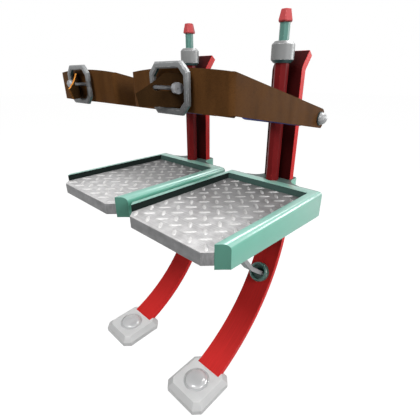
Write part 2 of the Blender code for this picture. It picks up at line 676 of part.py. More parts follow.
def make_damper_spring(stilt, low, high):
    # a helix from the tube's floor to the rod's foot
    first, last = low + COIL_WIRE_RADIUS, high - COIL_WIRE_RADIUS
    count = COIL_TURNS * COIL_TURN_POINTS
    curve = bpy.data.curves.new(f"{stilt.name}_damper_spring", "CURVE")
    curve.dimensions = "3D"
    curve.bevel_depth = COIL_WIRE_RADIUS
    curve.bevel_resolution = 0
    curve.use_fill_caps = True
    spline = curve.splines.new("POLY")
    spline.points.add(count)
    origin = stilt.world((0, DAMPER_Y, low))
    for index in range(count + 1):
        angle = stilt.side * math.tau * index / COIL_TURN_POINTS
        height = first - low + (last - first) * index / count
        spline.points[index].co = (COIL_RADIUS * math.cos(angle), COIL_RADIUS * math.sin(angle),
                                   height, 1)
    curve.materials.append(stilt.materials["steel"])
    body = bpy.data.objects.new(curve.name, curve)
    body.location = origin
    bpy.context.collection.objects.link(body)


# Back bar

def make_back_bar(stilt):
    middle = BAR_FRONT + BAR_THICKNESS / 2
    foot = RAIL_RISE - BAR_SEAT_DEPTH
    path = [Vector((middle, foot))]
    steps = 4
    for step in range(steps + 1):
        turn = BAR_FLARE_ANGLE * step / steps
        path.append(Vector((middle + BAR_BEND_RADIUS * (1 - math.cos(turn)),
                            BAR_BEND_HEIGHT + BAR_BEND_RADIUS * math.sin(turn))))
    rise = Vector((math.sin(BAR_FLARE_ANGLE), math.cos(BAR_FLARE_ANGLE)))
    path.append(path[-1] + rise * (BAR_FLARE_LENGTH - BAR_BEND_RADIUS * BAR_FLARE_ANGLE))
    bm = bmesh.new()
    add_prism(bm, bar_outline(path, BAR_THICKNESS / 2), "x", -BAR_HALF_WIDTH, BAR_HALF_WIDTH)
    stilt.add(bm, "back_bar", "spring", sharp=20)


# Leaf spring, its pin and its foot

def leaf_point(angle, radius=LEAF_RADIUS):
    return Vector((LEAF_CENTRE_Y + radius * math.cos(angle),
                   LEAF_BOW_TOP - radius * math.sin(angle)))


def leaf_path(last_angle):
    path = [Vector((LEAF_EYE_Y, LEAF_EYE_HEIGHT))]
    for step in range(LEAF_BOW_STEPS + 1):
        path.append(leaf_point(last_angle * step / LEAF_BOW_STEPS))
    return path


def leaf_pivot():
    return (0, LEAF_EYE_Y, LEAF_EYE_HEIGHT)


def cup_frame():
    # where the cup's base meets the leaf, and the way it faces
    base = leaf_point(CUP_ANGLE, LEAF_RADIUS - LEAF_THICKNESS / 2)
    facing = Vector((-math.cos(CUP_ANGLE), math.sin(CUP_ANGLE)))
    return base, facing


def cup_pin_centre():
    base, facing = cup_frame()
    return base + facing * CUP_PIN_HEIGHT


def cup_axis():
    base, facing = cup_frame()
    return (0, base.x, base.y), (0, facing.x, facing.y)


def make_leaf(stilt):
    bm = bmesh.new()
    outline = bar_outline(leaf_path(LEAF_BOW_ANGLE), LEAF_THICKNESS / 2, start_eye=LEAF_EYE_RADIUS)
    add_prism(bm, outline, "x", -LEAF_HALF_WIDTH, LEAF_HALF_WIDTH)
    leaf = stilt.add(bm, "leaf_spring", "spring", pivot=leaf_pivot(), sharp=25)
    bm = bmesh.new()
    add_prism(bm, circle_outline(Vector((LEAF_EYE_Y, LEAF_EYE_HEIGHT)), LEAF_PIN_RADIUS + SEAT_GAP,
                                 ROUND_SIDES),
              "x", -LEAF_HALF_WIDTH - OVERRUN, LEAF_HALF_WIDTH + OVERRUN)
    centre, facing = cup_axis()
    hole = CUP_SPIGOT_RADIUS + SEAT_GAP
    add_turned(bm, [(0, OVERRUN), (hole, OVERRUN), (hole, -LEAF_THICKNESS - OVERRUN),
                    (0, -LEAF_THICKNESS - OVERRUN)], centre, facing, ROUND_SIDES)
    stilt.cut(leaf, bm, "leaf_holes")

    bm = bmesh.new()
    add_headed_pin(bm, (0, LEAF_EYE_Y, LEAF_EYE_HEIGHT), LEAF_PIN_RADIUS, TAB_HALF_WIDTH + SEAT_GAP,
                   PIN_HEAD_RADIUS, PIN_HEAD_LENGTH)
    stilt.add(bm, "leaf_pin", "steel")


def add_headed_pin(bm, centre, radius, half_length, head_radius, head):
    # a cross pin along X with a round head at each end
    end = half_length + head
    add_turned(bm, [(0, -end), (head_radius, -end), (head_radius, -half_length),
                    (radius, -half_length), (radius, half_length), (head_radius, half_length),
                    (head_radius, end), (0, end)], centre, (1, 0, 0), ROUND_SIDES)


def make_foot(stilt):
    back = FOOT_TOE + FOOT_LENGTH
    half, cut = FOOT_HALF_WIDTH, FOOT_CORNER_CUT

    def ring(inset, z):
        side, toe, heel = half - inset, FOOT_TOE + inset, back - inset
        trim = cut - inset * math.tan(math.pi / 8)
        return [Vector(p) for p in (
            (side - trim, toe, z), (side, toe + trim, z), (side, heel - trim, z),
            (side - trim, heel, z), (trim - side, heel, z), (-side, heel - trim, z),
            (-side, toe + trim, z), (trim - side, toe, z))]

    bm = bmesh.new()
    add_stations(bm, [ring(0, FOOT_BOTTOM), ring(0, FOOT_BOTTOM + FOOT_WALL),
                      ring(FOOT_TOP_INSET, FOOT_TOP)])
    foot = stilt.add(bm, "foot_block", "foot", pivot=leaf_pivot(), sharp=25)

    # the slot that the leaf's end is driven into, and the seat of the stud
    bm = bmesh.new()
    end_gap = SEAT_GAP / LEAF_RADIUS
    add_prism(bm, bar_outline(leaf_path(LEAF_BOW_ANGLE + end_gap), LEAF_THICKNESS / 2 + SEAT_GAP), "x",
              -LEAF_HALF_WIDTH - SEAT_GAP, LEAF_HALF_WIDTH + SEAT_GAP)
    stilt.cut(foot, bm, "leaf_slot")
    stud = Vector((0, FOOT_TOE + STUD_SETBACK, 0))
    seat = STUD_RADIUS + SEAT_GAP
    bm = bmesh.new()
    add_turned(bm, [(0, FOOT_TOP - STUD_SEAT - SEAT_GAP), (seat, FOOT_TOP - STUD_SEAT - SEAT_GAP),
                    (seat, FOOT_TOP + OVERRUN), (0, FOOT_TOP + OVERRUN)],
               stud, (0, 0, 1), STUD_SIDES)
    stilt.cut(foot, bm, "stud_seat")

    profile = [(0, FOOT_TOP - STUD_SEAT), (STUD_RADIUS, FOOT_TOP - STUD_SEAT)]
    for step in range(STUD_DOME_STEPS + 1):
        angle = math.pi / 2 * step / STUD_DOME_STEPS
        radius = 0 if step == STUD_DOME_STEPS else STUD_RADIUS * math.cos(angle)
        profile.append((radius, FOOT_TOP - SEAT_GAP + STUD_DOME * math.sin(angle)))
    bm = bmesh.new()
    add_turned(bm, profile, stud, (0, 0, 1), STUD_SIDES)
    stilt.add(bm, "foot_stud", "foot", pivot=leaf_pivot(), sharp=50)


# Link between deck and leaf

def make_link_cup(stilt):
    centre, facing = cup_axis()
    reach = LEAF_RADIUS - LEAF_THICKNESS / 2
    lift = SEAT_GAP + reach - math.sqrt(reach ** 2 - CUP_RADIUS ** 2)
    back = -LEAF_THICKNESS - SEAT_GAP - CUP_NUT_THICKNESS
    bm = bmesh.new()
    add_turned(bm, [(0, back), (CUP_SPIGOT_RADIUS, back), (CUP_SPIGOT_RADIUS, lift),
                    (CUP_RADIUS, lift), (CUP_RADIUS, CUP_HEIGHT - CUP_ROUND),
                    (CUP_RADIUS - CUP_ROUND, CUP_HEIGHT), (CUP_RECESS_RADIUS, CUP_HEIGHT),
                    (CUP_RECESS_RADIUS, lift + CUP_FLOOR), (0, lift + CUP_FLOOR)],
               centre, facing, STUD_SIDES)
    cup = stilt.add(bm, "link_cup", "frame", pivot=leaf_pivot(), sharp=30)
    pin = cup_pin_centre()
    bm = bmesh.new()
    reach = CUP_RADIUS + OVERRUN
    add_prism(bm, circle_outline(pin, LINK_PIN_RADIUS + SEAT_GAP, ROUND_SIDES), "x", -reach, reach)
    stilt.cut(cup, bm, "cup_pin_hole")

    bm = bmesh.new()
    hole = CUP_SPIGOT_RADIUS + SEAT_GAP
    sagitta = SEAT_GAP + SEAT_GAP
    front = -LEAF_THICKNESS - sagitta
    rear = front - CUP_NUT_THICKNESS
    add_turned(bm, [(hole, front), (CUP_NUT_RADIUS, front), (CUP_NUT_RADIUS, rear), (hole, rear)],
               centre, facing, ROUND_SIDES)
    stilt.add(bm, "cup_nut", "steel", pivot=leaf_pivot())

    bm = bmesh.new()
    half = math.sqrt(CUP_RADIUS ** 2 - LINK_PIN_RADIUS ** 2) - SEAT_GAP
    add_turned(bm, [(0, -half), (LINK_PIN_RADIUS, -half), (LINK_PIN_RADIUS, half), (0, half)],
               (0, pin.x, pin.y), (1, 0, 0), ROUND_SIDES)
    stilt.add(bm, "link_lower_pin", "steel", pivot=leaf_pivot())


def make_link_arm(stilt):
    pin = cup_pin_centre()
    top = Vector((ARM_TOP_Y, ARM_TOP_Z))
    bend = pin + Vector((-ARM_CRANK_REACH, ARM_CRANK_RISE))
    bm = bmesh.new()
    outline = bar_outline([top, bend, pin], ARM_THICKNESS / 2, ARM_EYE_RADIUS, ARM_EYE_RADIUS)
    add_prism(bm, outline, "x", -ARM_HALF_WIDTH, ARM_HALF_WIDTH)
    pivot = (0, pin.x, pin.y)
    arm = stilt.add(bm, "link_arm", "alloy", pivot=pivot, sharp=25)
    reach = ARM_HALF_WIDTH + OVERRUN
    bm = bmesh.new()
    add_prism(bm, circle_outline(pin, LINK_PIN_RADIUS + SEAT_GAP, ROUND_SIDES), "x", -reach, reach)
    add_prism(bm, circle_outline(top, LINK_PIN_RADIUS + SEAT_GAP, ROUND_SIDES), "x", -reach, reach)
    stilt.cut(arm, bm, "arm_bores")

    bm = bmesh.new()
    half = ARM_HALF_WIDTH + RUN_GAP + GUIDE_CHEEK + RUN_GAP
    add_headed_pin(bm, (0, top.x, top.y), LINK_PIN_RADIUS, half, PIN_HEAD_RADIUS, PIN_HEAD_LENGTH)
    stilt.add(bm, "link_upper_pin", "steel", pivot=pivot)


def make_link_guide(stilt):
    top = GUIDE_TOP
    web = top - GUIDE_WEB
    foot = top - GUIDE_DEPTH
    inner = ARM_HALF_WIDTH + RUN_GAP
    outer = inner + GUIDE_CHEEK
    half = [(GUIDE_HALF_WIDTH, top), (GUIDE_HALF_WIDTH, web), (outer, web), (outer, foot),
            (inner, foot), (inner, web)]
    outline = half + [(-x, z) for x, z in reversed(half)]
    bm = bmesh.new()
    add_prism(bm, [Vector(p) for p in outline], "y", GUIDE_FRONT, GUIDE_FRONT + GUIDE_LENGTH)
    guide = stilt.add(bm, "link_guide", "frame", sharp=25)
    bm = bmesh.new()
    end = Vector((ARM_TOP_Y, ARM_TOP_Z))
    start = Vector((ARM_TOP_Y - GUIDE_SLOT_TRAVEL, ARM_TOP_Z))
    add_prism(bm, slot_outline(start, end, LINK_PIN_RADIUS + RUN_GAP + RUN_GAP, 6), "x",
              -outer - OVERRUN, outer + OVERRUN)
    add_screw_holes(bm, web - OVERRUN, top + OVERRUN)
    stilt.cut(guide, bm, "guide_slot")

    head = web - SEAT_GAP
    tip = -TREAD_DEPTH + GUIDE_SCREW_BITE - SEAT_GAP
    for place, (x, y) in guide_screw_places().items():
        bm = bmesh.new()
        add_turned(bm, [(0, head - GUIDE_SCREW_HEAD), (GUIDE_SCREW_HEAD_RADIUS, head - GUIDE_SCREW_HEAD),
                        (GUIDE_SCREW_HEAD_RADIUS, head), (GUIDE_SCREW_RADIUS, head),
                        (GUIDE_SCREW_RADIUS, tip), (0, tip)], (x, y, 0), (0, 0, 1), SCREW_SIDES)
        stilt.add(bm, f"guide_screw_{place}", "steel")


# Calf strap, its free end and its bolts

def strap_edges(y):
    share = min(max((y - STRAP_CORNER_Y) / (STRAP_REAR_Y - STRAP_CORNER_Y), 0), 1)
    low = STRAP_FRONT_LOW + share * (STRAP_REAR_LOW - STRAP_FRONT_LOW)
    high = STRAP_FRONT_HIGH + share * (STRAP_REAR_HIGH - STRAP_FRONT_HIGH)
    return low, high


def strap_pivot():
    return (0, STRAP_BOLT_Y, STRAP_BOLT_Z)


def strap_half_stations():
    # plan points of the band's outer face with the way it faces, from the front middle to the end
    points = []
    for step in range(STRAP_BOW_STEPS // 2 + 1):
        share = 2 * step / STRAP_BOW_STEPS
        x = share * (STRAP_HALF_WIDTH - STRAP_THICKNESS - STRAP_THICKNESS)
        y = STRAP_FRONT_Y + share ** 2 * (STRAP_CORNER_Y - STRAP_FRONT_Y - STRAP_THICKNESS)
        points.append((x, y, -math.pi / 2))
    radius = STRAP_THICKNESS + STRAP_THICKNESS
    centre = Vector((STRAP_HALF_WIDTH - radius, points[-1][1] + radius))
    for step in range(1, STRAP_CORNER_STEPS + 1):
        angle = -math.pi / 2 + math.pi / 2 * step / STRAP_CORNER_STEPS
        points.append((centre.x + radius * math.cos(angle), centre.y + radius * math.sin(angle), angle))
    side_steps = 3
    for step in range(1, side_steps + 1):
        y = centre.y + (STRAP_REAR_Y - centre.y) * step / side_steps
        points.append((STRAP_HALF_WIDTH, y, 0))
    return points


def make_strap_band(stilt):
    half = strap_half_stations()
    plan = [(-x, y, math.pi - angle) for x, y, angle in reversed(half[1:])] + half
    stations = []
    for x, y, angle in plan:
        low, high = strap_edges(y)
        high += STRAP_CROWN * max(1 - (x / (STRAP_HALF_WIDTH - STRAP_THICKNESS)) ** 2, 0)
        inward = Vector((-math.cos(angle), -math.sin(angle), 0)) * STRAP_THICKNESS
        stations.append([Vector((x, y, low)), Vector((x, y, high)),
                         Vector((x, y, high)) + inward, Vector((x, y, low)) + inward])

    def trimmed(sign):
        x, inner, y = sign * STRAP_HALF_WIDTH, sign * BAND_INNER, STRAP_REAR_Y + STRAP_END_TRIM
        low, high = STRAP_REAR_LOW + STRAP_END_TRIM, STRAP_REAR_HIGH - STRAP_END_TRIM
        return [[Vector((x, y, low)), Vector((x, y, high)),
                 Vector((inner, y, high)), Vector((inner, y, low))]]

    bm = bmesh.new()
    add_stations(bm, trimmed(-1) + stations + trimmed(1))
    band = stilt.add(bm, "strap_band", "leather", pivot=strap_pivot(), sharp=40)
    bm = bmesh.new()
    for sign in (-1, 1):
        reach = sorted((sign * (STRAP_HALF_WIDTH + OVERRUN), sign * (BAND_INNER - OVERRUN)))
        add_prism(bm, circle_outline(Vector((STRAP_BOLT_Y, STRAP_BOLT_Z)), BOLT_RADIUS + SEAT_GAP,
                                     ROUND_SIDES), "x", reach[0], reach[1])
    stilt.cut(band, bm, "bolt_holes")


def end_plan(x):
    # how far forward the free end stands at x, in front of its root
    share = min(max((END_BEND_X - x) / (END_BEND_X - END_TIP_X), 0), 1)
    return END_TIP_REACH * share * (END_LIFT_SHARE + (1 - END_LIFT_SHARE) * share)


def make_strap_end(stilt):
    root_y = STRAP_FRONT_Y - SEAT_GAP
    steps = 9
    xs = [END_ROOT_X, END_BEND_X]
    xs += [END_BEND_X + (END_SHOULDER_X - END_BEND_X) * step / 4 for step in range(1, 5)]
    xs += [END_SHOULDER_X + (END_TIP_X - END_SHOULDER_X) * step / (steps - 4)
           for step in range(1, steps - 3)]
    stations = []
    for x in xs:
        tip_share = max((END_SHOULDER_X - x) / (END_SHOULDER_X - END_TIP_X), 0)
        high = END_HIGH + (END_TIP_HIGH - END_HIGH) * tip_share
        y = root_y - end_plan(x)
        back = END_TIP_TWIST * tip_share
        stations.append([Vector((x, y + back, END_LOW)), Vector((x, y, high)),
                         Vector((x, y - END_THICKNESS, high)),
                         Vector((x, y + back - END_THICKNESS, END_LOW))])
    bm = bmesh.new()
    add_stations(bm, stations)
    end = stilt.add(bm, "strap_end", "leather", pivot=strap_pivot(), sharp=40)
    bm = bmesh.new()
    low, high = PRONG_Z - END_SLOT_HALF_HEIGHT, PRONG_Z + END_SLOT_HALF_HEIGHT
    crossing = prong_crossing()
    add_prism(bm, box_outline(crossing - END_SLOT_FRONT, crossing + END_SLOT_BACK,
                              STRAP_FRONT_Y - END_TIP_REACH, STRAP_FRONT_Y), "z", low, high)
    stilt.cut(end, bm, "prong_slot")


def prong_pivot():
    x = BUCKLE_CENTRE_X - BUCKLE_HALF_WIDTH + BUCKLE_BAR / 2
    return (x, BUCKLE_Y, PRONG_Z)


def prong_crossing():
    # where the prong meets the free end, found by halving the stretch between bend and shoulder
    pivot = prong_pivot()
    slope = math.tan(PRONG_ANGLE)
    low, high = END_TIP_X, END_BEND_X
    for _ in range(30):
        middle = (low + high) / 2
        leather = STRAP_FRONT_Y - SEAT_GAP - END_THICKNESS / 2 - end_plan(middle)
        if leather < pivot[1] - slope * (middle - pivot[0]):
            low = middle
        else:
            high = middle
    return low


def make_strap_bolts(stilt):
    # each bolt's inner end is upset into a head against the yoke
    face = STRAP_HALF_WIDTH + SEAT_GAP
    inner = YOKE_OUTER - YOKE_THICKNESS - SEAT_GAP
    tail = inner - BOLT_TAIL
    dome = [(BOLT_DOME_RADIUS * math.cos(math.pi / 2 * step / BOLT_DOME_STEPS),
             face + BOLT_FLANGE + BOLT_DOME * math.sin(math.pi / 2 * step / BOLT_DOME_STEPS))
            for step in range(BOLT_DOME_STEPS)]
    for place, sign in (("inner", -1), ("outer", 1)):
        bm = bmesh.new()
        add_turned(bm, [(0, tail), (BOLT_TAIL_RADIUS, tail), (BOLT_TAIL_RADIUS, inner),
                        (BOLT_RADIUS, inner), (BOLT_RADIUS, face), (BOLT_FLANGE_RADIUS, face),
                        (BOLT_FLANGE_RADIUS, face + BOLT_FLANGE)]
                   + dome + [(0, face + BOLT_FLANGE + BOLT_DOME)],
                   strap_pivot(), (sign, 0, 0), ROUND_SIDES)
        stilt.add(bm, f"strap_bolt_{place}", "alloy")


# Buckle

def buckle_outline(inset):
    half_x, half_z = BUCKLE_HALF_WIDTH - inset, BUCKLE_HALF_HEIGHT - inset
    trim = BUCKLE_CORNER_CUT - inset * math.tan(math.pi / 8)
    corners = [(half_x - trim, -half_z), (half_x, trim - half_z), (half_x, half_z - trim),
               (half_x - trim, half_z), (trim - half_x, half_z), (-half_x, half_z - trim),
               (-half_x, trim - half_z), (trim - half_x, -half_z)]
    return [Vector((BUCKLE_CENTRE_X + a, BUCKLE_CENTRE_Z + b)) for a, b in corners]


def make_buckle_frame(stilt):
    # eight bars of bevelled section, joined at their mitres
    back, front = BUCKLE_Y + BUCKLE_DEPTH / 2, BUCKLE_Y - BUCKLE_DEPTH / 2
    section = [(0, back - BUCKLE_BEVEL), (0, front + BUCKLE_BEVEL), (BUCKLE_BEVEL, front),
               (BUCKLE_BAR - BUCKLE_BEVEL, front), (BUCKLE_BAR, front + BUCKLE_BEVEL),
               (BUCKLE_BAR, back - BUCKLE_BEVEL), (BUCKLE_BAR - BUCKLE_BEVEL, back),
               (BUCKLE_BEVEL, back)]
    bm = bmesh.new()
    loops = []
    for inset, y in section:
        loops.append([bm.verts.new((p.x, y, p.y)) for p in buckle_outline(inset)])
    for index, near in enumerate(loops):
        far = loops[(index + 1) % len(loops)]
        for i in range(len(near)):
            j = (i + 1) % len(near)
            bm.faces.new((near[i], near[j], far[j], far[i]))
    frame = stilt.add(bm, "buckle_frame", "alloy", pivot=strap_pivot(), sharp=50)
    # the round neck that the prong's eye turns on
    bm = bmesh.new()
    reach = PRONG_EYE_HALF_HEIGHT + RUN_GAP
    outer = BUCKLE_BAR + BUCKLE_DEPTH
    add_turned(bm, [(BUCKLE_NECK_RADIUS, -reach), (outer, -reach), (outer, reach),
                    (BUCKLE_NECK_RADIUS, reach)], prong_pivot(), (0, 0, 1), ROUND_SIDES)
    stilt.cut(frame, bm, "prong_neck")


def make_buckle_prong(stilt):
    pivot = prong_pivot()
    bore = (BUCKLE_NECK_RADIUS + SEAT_GAP) / math.cos(math.pi / ROUND_SIDES)
    bm = bmesh.new()
    half = PRONG_EYE_HALF_HEIGHT
    add_turned(bm, [(bore, -half), (PRONG_EYE_RADIUS, -half), (PRONG_EYE_RADIUS, half),
                    (bore, half)], pivot, (0, 0, 1), ROUND_SIDES)
    prong = stilt.add(bm, "buckle_prong", "steel", pivot=pivot, sharp=30)
    # the stem starts inside the eye's wall and ends in a flared head
    bm = bmesh.new()
    start = (bore + PRONG_EYE_RADIUS) / 2
    neck = PRONG_LENGTH - PRONG_HEAD_LENGTH
    add_turned(bm, [(0, start), (PRONG_RADIUS, start), (PRONG_RADIUS, neck),
                    (PRONG_HEAD_RADIUS, neck + PRONG_FLARE),
                    (PRONG_HEAD_RADIUS, PRONG_LENGTH), (0, PRONG_LENGTH)],
               pivot, (math.cos(PRONG_ANGLE), -math.sin(PRONG_ANGLE), 0), PRONG_SIDES)
    stilt.join(prong, bm, "prong_stem")


# Calf cuff

def make_cuff_yoke(stilt):
    back_outer = DAMPER_Y - math.cos(math.pi / DAMPER_SIDES) * DAMPER_TUBE_RADIUS
    back_outer -= SEAT_GAP + YOKE_RING_WALL - YOKE_BACK_SINK
    path = [Vector((YOKE_OUTER - YOKE_THICKNESS / 2, STRAP_BOLT_Y - YOKE_ARM_REACH))]
    radius = YOKE_CORNER_RADIUS
    centre = Vector((YOKE_OUTER - YOKE_THICKNESS / 2 - radius, back_outer - YOKE_THICKNESS / 2 - radius))
    for step in range(YOKE_CORNER_STEPS + 1):
        angle = math.pi / 2 * step / YOKE_CORNER_STEPS
        path.append(centre + radius * Vector((math.cos(angle), math.sin(angle))))
    path += [Vector((-p.x, p.y)) for p in reversed(path)]
    bm = bmesh.new()
    low = STRAP_BOLT_Z - YOKE_HEIGHT / 2
    add_prism(bm, bar_outline(path, YOKE_THICKNESS / 2), "z", low, low + YOKE_HEIGHT)
    for vert in bm.verts:
        vert.co.z += YOKE_SLOPE * (STRAP_BOLT_Y - min(vert.co.y, STRAP_BOLT_Y))
    yoke = stilt.add(bm, "cuff_yoke", "frame", sharp=25)

    # the ring round the damper tube
    bm = bmesh.new()
    bore = DAMPER_TUBE_RADIUS + octagon_radius(SEAT_GAP)
    ring = bore + octagon_radius(YOKE_RING_WALL)
    ring_low, ring_high = low + YOKE_RING_TRIM, low + YOKE_HEIGHT - YOKE_RING_TRIM
    add_turned(bm, [(bore, ring_low), (ring, ring_low), (ring, ring_high), (bore, ring_high)],
               (0, DAMPER_Y, 0), (0, 0, 1), DAMPER_SIDES, math.pi / DAMPER_SIDES)
    stilt.join(yoke, bm, "yoke_ring")
    bm = bmesh.new()
    for sign in (-1, 1):
        reach = sorted((sign * (YOKE_OUTER + OVERRUN), sign * (YOKE_OUTER - YOKE_THICKNESS - OVERRUN)))
        add_prism(bm, circle_outline(Vector((STRAP_BOLT_Y, STRAP_BOLT_Z)), BOLT_RADIUS + SEAT_GAP,
                                     ROUND_SIDES), "x", reach[0], reach[1])
    stilt.cut(yoke, bm, "yoke_bolt_holes")
    make_calf_pad(stilt, back_outer - YOKE_THICKNESS - SEAT_GAP)


def make_calf_pad(stilt, back):
    # a cushion with a flat back, drawn in at its edges and crowned towards the calf
    bm = bmesh.new()
    grid = []
    for row in range(PAD_ROWS + 1):
        v = 2 * row / PAD_ROWS - 1
        line = []
        for column in range(PAD_COLUMNS + 1):
            u = 2 * column / PAD_COLUMNS - 1
            crown = ((1 - u ** 4) * (1 - v ** 4)) ** 0.5
            pinch = 1 - PAD_PINCH_SHARE * u ** 2
            x = PAD_HALF_WIDTH * u
            z = PAD_LOW + PAD_HEIGHT / 2 * (1 + v * pinch)
            line.append((x, z, PAD_EDGE + PAD_CROWN * crown))
        grid.append(line)
    front = [[bm.verts.new((x, back - depth, z)) for x, z, depth in line] for line in grid]
    rear = [[bm.verts.new((x, back, z)) for x, z, depth in line] for line in grid]
    for sheet in (front, rear):
        for row in range(PAD_ROWS):
            for column in range(PAD_COLUMNS):
                bm.faces.new((sheet[row][column], sheet[row][column + 1],
                              sheet[row + 1][column + 1], sheet[row + 1][column]))
    rim = [(0, c) for c in range(PAD_COLUMNS)] + [(r, PAD_COLUMNS) for r in range(PAD_ROWS)]
    rim += [(PAD_ROWS, c) for c in range(PAD_COLUMNS, 0, -1)] + [(r, 0) for r in range(PAD_ROWS, 0, -1)]
    for index, (row, column) in enumerate(rim):
        next_row, next_column = rim[(index + 1) % len(rim)]
        bm.faces.new((front[row][column], front[next_row][next_column],
                      rear[next_row][next_column], rear[row][column]))
    stilt.add(bm, "calf_pad", "pad", sharp=60)


def clear_scene():
    for item in list(bpy.data.objects):
        bpy.data.objects.remove(item, do_unlink=True)


def make_stilt(name, side, materials):
    stilt = Stilt(name, side, materials)
    make_deck_frame(stilt)
    make_tread_plate(stilt)
    make_damper(stilt)
    make_back_bar(stilt)
    make_leaf(stilt)
    make_foot(stilt)
    make_link_cup(stilt)
    make_link_arm(stilt)
    make_link_guide(stilt)
    make_cuff_yoke(stilt)
    make_strap_band(stilt)
    make_strap_end(stilt)
    make_strap_bolts(stilt)
    make_buckle_frame(stilt)
    make_buckle_prong(stilt)


def main():
    clear_scene()
    materials = make_materials()
    # the wearer faces -Y, so the wearer's left stilt is the one at +X
    make_stilt("left", 1, materials)
    make_stilt("right", -1, materials)


main()
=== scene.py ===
import json
import math

import bmesh
import bpy
from mathutils import Matrix, Vector


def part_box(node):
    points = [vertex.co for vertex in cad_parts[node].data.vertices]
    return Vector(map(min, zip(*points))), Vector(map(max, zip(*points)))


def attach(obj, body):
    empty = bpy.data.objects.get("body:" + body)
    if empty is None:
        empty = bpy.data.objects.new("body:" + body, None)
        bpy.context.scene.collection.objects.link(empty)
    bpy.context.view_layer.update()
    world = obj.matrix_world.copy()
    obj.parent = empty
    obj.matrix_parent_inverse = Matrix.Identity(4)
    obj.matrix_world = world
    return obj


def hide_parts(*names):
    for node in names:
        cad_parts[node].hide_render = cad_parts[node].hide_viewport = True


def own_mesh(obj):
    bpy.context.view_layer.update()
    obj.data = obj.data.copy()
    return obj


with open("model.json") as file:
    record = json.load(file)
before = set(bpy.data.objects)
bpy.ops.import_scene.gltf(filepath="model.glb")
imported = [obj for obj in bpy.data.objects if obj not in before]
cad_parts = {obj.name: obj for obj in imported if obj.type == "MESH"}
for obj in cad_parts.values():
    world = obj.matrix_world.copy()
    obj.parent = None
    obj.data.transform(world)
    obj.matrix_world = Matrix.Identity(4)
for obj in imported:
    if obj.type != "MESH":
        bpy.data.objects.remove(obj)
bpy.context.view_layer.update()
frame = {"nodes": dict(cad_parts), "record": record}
nodes = frame["nodes"]
print("frame loaded:", len(nodes), "nodes")

halfPitch = 0.1275                 # from the pair's middle plane to the middle of each stilt
sides = {"left": 1, "right": -1}   # the wearer's left stilt stands at +X


# camera, from the photograph's fitted view

cameraSettings = {
    "place": (0.46839, -0.39379, 0.22389),
    "turn": (65.9868, 0, 43.1125),
    "lens": 26.04,
    "sensor": 36,
    "nearest": 0.01,
}


def addCamera(settings):
    camera = bpy.data.cameras.new("photoView")
    camera.sensor_width = settings["sensor"]
    camera.lens = settings["lens"]
    camera.clip_start = settings["nearest"]
    holder = bpy.data.objects.new("photoView", camera)
    holder.location = settings["place"]
    holder.rotation_euler = [math.radians(a) for a in settings["turn"]]
    bpy.context.collection.objects.link(holder)
    bpy.context.scene.camera = holder


addCamera(cameraSettings)
print("camera placed")


# shader helpers

def newGroup(name, inputs, outputs):
    group = bpy.data.node_groups.new(name, "ShaderNodeTree")
    for label, kind, value in inputs:
        socket = group.interface.new_socket(label, in_out="INPUT", socket_type=kind)
        socket.default_value = value
    for label, kind in outputs:
        group.interface.new_socket(label, in_out="OUTPUT", socket_type=kind)
    entry = group.nodes.new("NodeGroupInput")
    leave = group.nodes.new("NodeGroupOutput")
    return group, entry, leave


def addNode(tree, kind, **values):
    node = tree.nodes.new(kind)
    for key, value in values.items():
        setattr(node, key, value)
    return node


def scaledPoint(tree, source, scale):
    stretch = addNode(tree, "ShaderNodeMapping")
    stretch.inputs["Scale"].default_value = scale
    tree.links.new(source, stretch.inputs["Vector"])
    return stretch.outputs["Vector"]


def makeMottle():
    # slow patches and a fine speck that shift a colour lighter and darker
    speckShare = 0.35       # how much of the speck is laid over the patches
    group, entry, leave = newGroup("mottle", [
        ("Color", "NodeSocketColor", (0.5, 0.5, 0.5, 1)),
        ("Patch Scale", "NodeSocketFloat", 30.0),
        ("Speck Scale", "NodeSocketFloat", 700.0),
        ("Amount", "NodeSocketFloat", 0.2),
        ("Roughness", "NodeSocketFloat", 0.4),
    ], [("Color", "NodeSocketColor"), ("Roughness", "NodeSocketFloat"), ("Height", "NodeSocketFloat")])
    links = group.links
    place = addNode(group, "ShaderNodeTexCoord")
    patch = addNode(group, "ShaderNodeTexNoise")
    speck = addNode(group, "ShaderNodeTexNoise")
    patch.inputs["Detail"].default_value = 4
    speck.inputs["Detail"].default_value = 2
    for noise, label in ((patch, "Patch Scale"), (speck, "Speck Scale")):
        links.new(place.outputs["Object"], noise.inputs["Vector"])
        links.new(entry.outputs[label], noise.inputs["Scale"])
    both = addNode(group, "ShaderNodeMath", operation="MULTIPLY_ADD")
    both.inputs[1].default_value = speckShare
    links.new(speck.outputs["Fac"], both.inputs[0])
    links.new(patch.outputs["Fac"], both.inputs[2])
    centred = addNode(group, "ShaderNodeMath", operation="SUBTRACT")
    centred.inputs[1].default_value = 0.5 * (1 + speckShare)    # the middle of both noises
    links.new(both.outputs[0], centred.inputs[0])
    shift = addNode(group, "ShaderNodeMath", operation="MULTIPLY_ADD")
    shift.inputs[2].default_value = 1.0
    links.new(centred.outputs[0], shift.inputs[0])
    links.new(entry.outputs["Amount"], shift.inputs[1])
    tint = addNode(group, "ShaderNodeVectorMath", operation="SCALE")
    links.new(entry.outputs["Color"], tint.inputs[0])
    links.new(shift.outputs[0], tint.inputs["Scale"])
    rough = addNode(group, "ShaderNodeMath", operation="MULTIPLY_ADD", use_clamp=True)
    rough.inputs[1].default_value = 0.35
    links.new(centred.outputs[0], rough.inputs[0])
    links.new(entry.outputs["Roughness"], rough.inputs[2])
    links.new(tint.outputs[0], leave.inputs["Color"])
    links.new(rough.outputs[0], leave.inputs["Roughness"])
    links.new(both.outputs[0], leave.inputs["Height"])
    return group


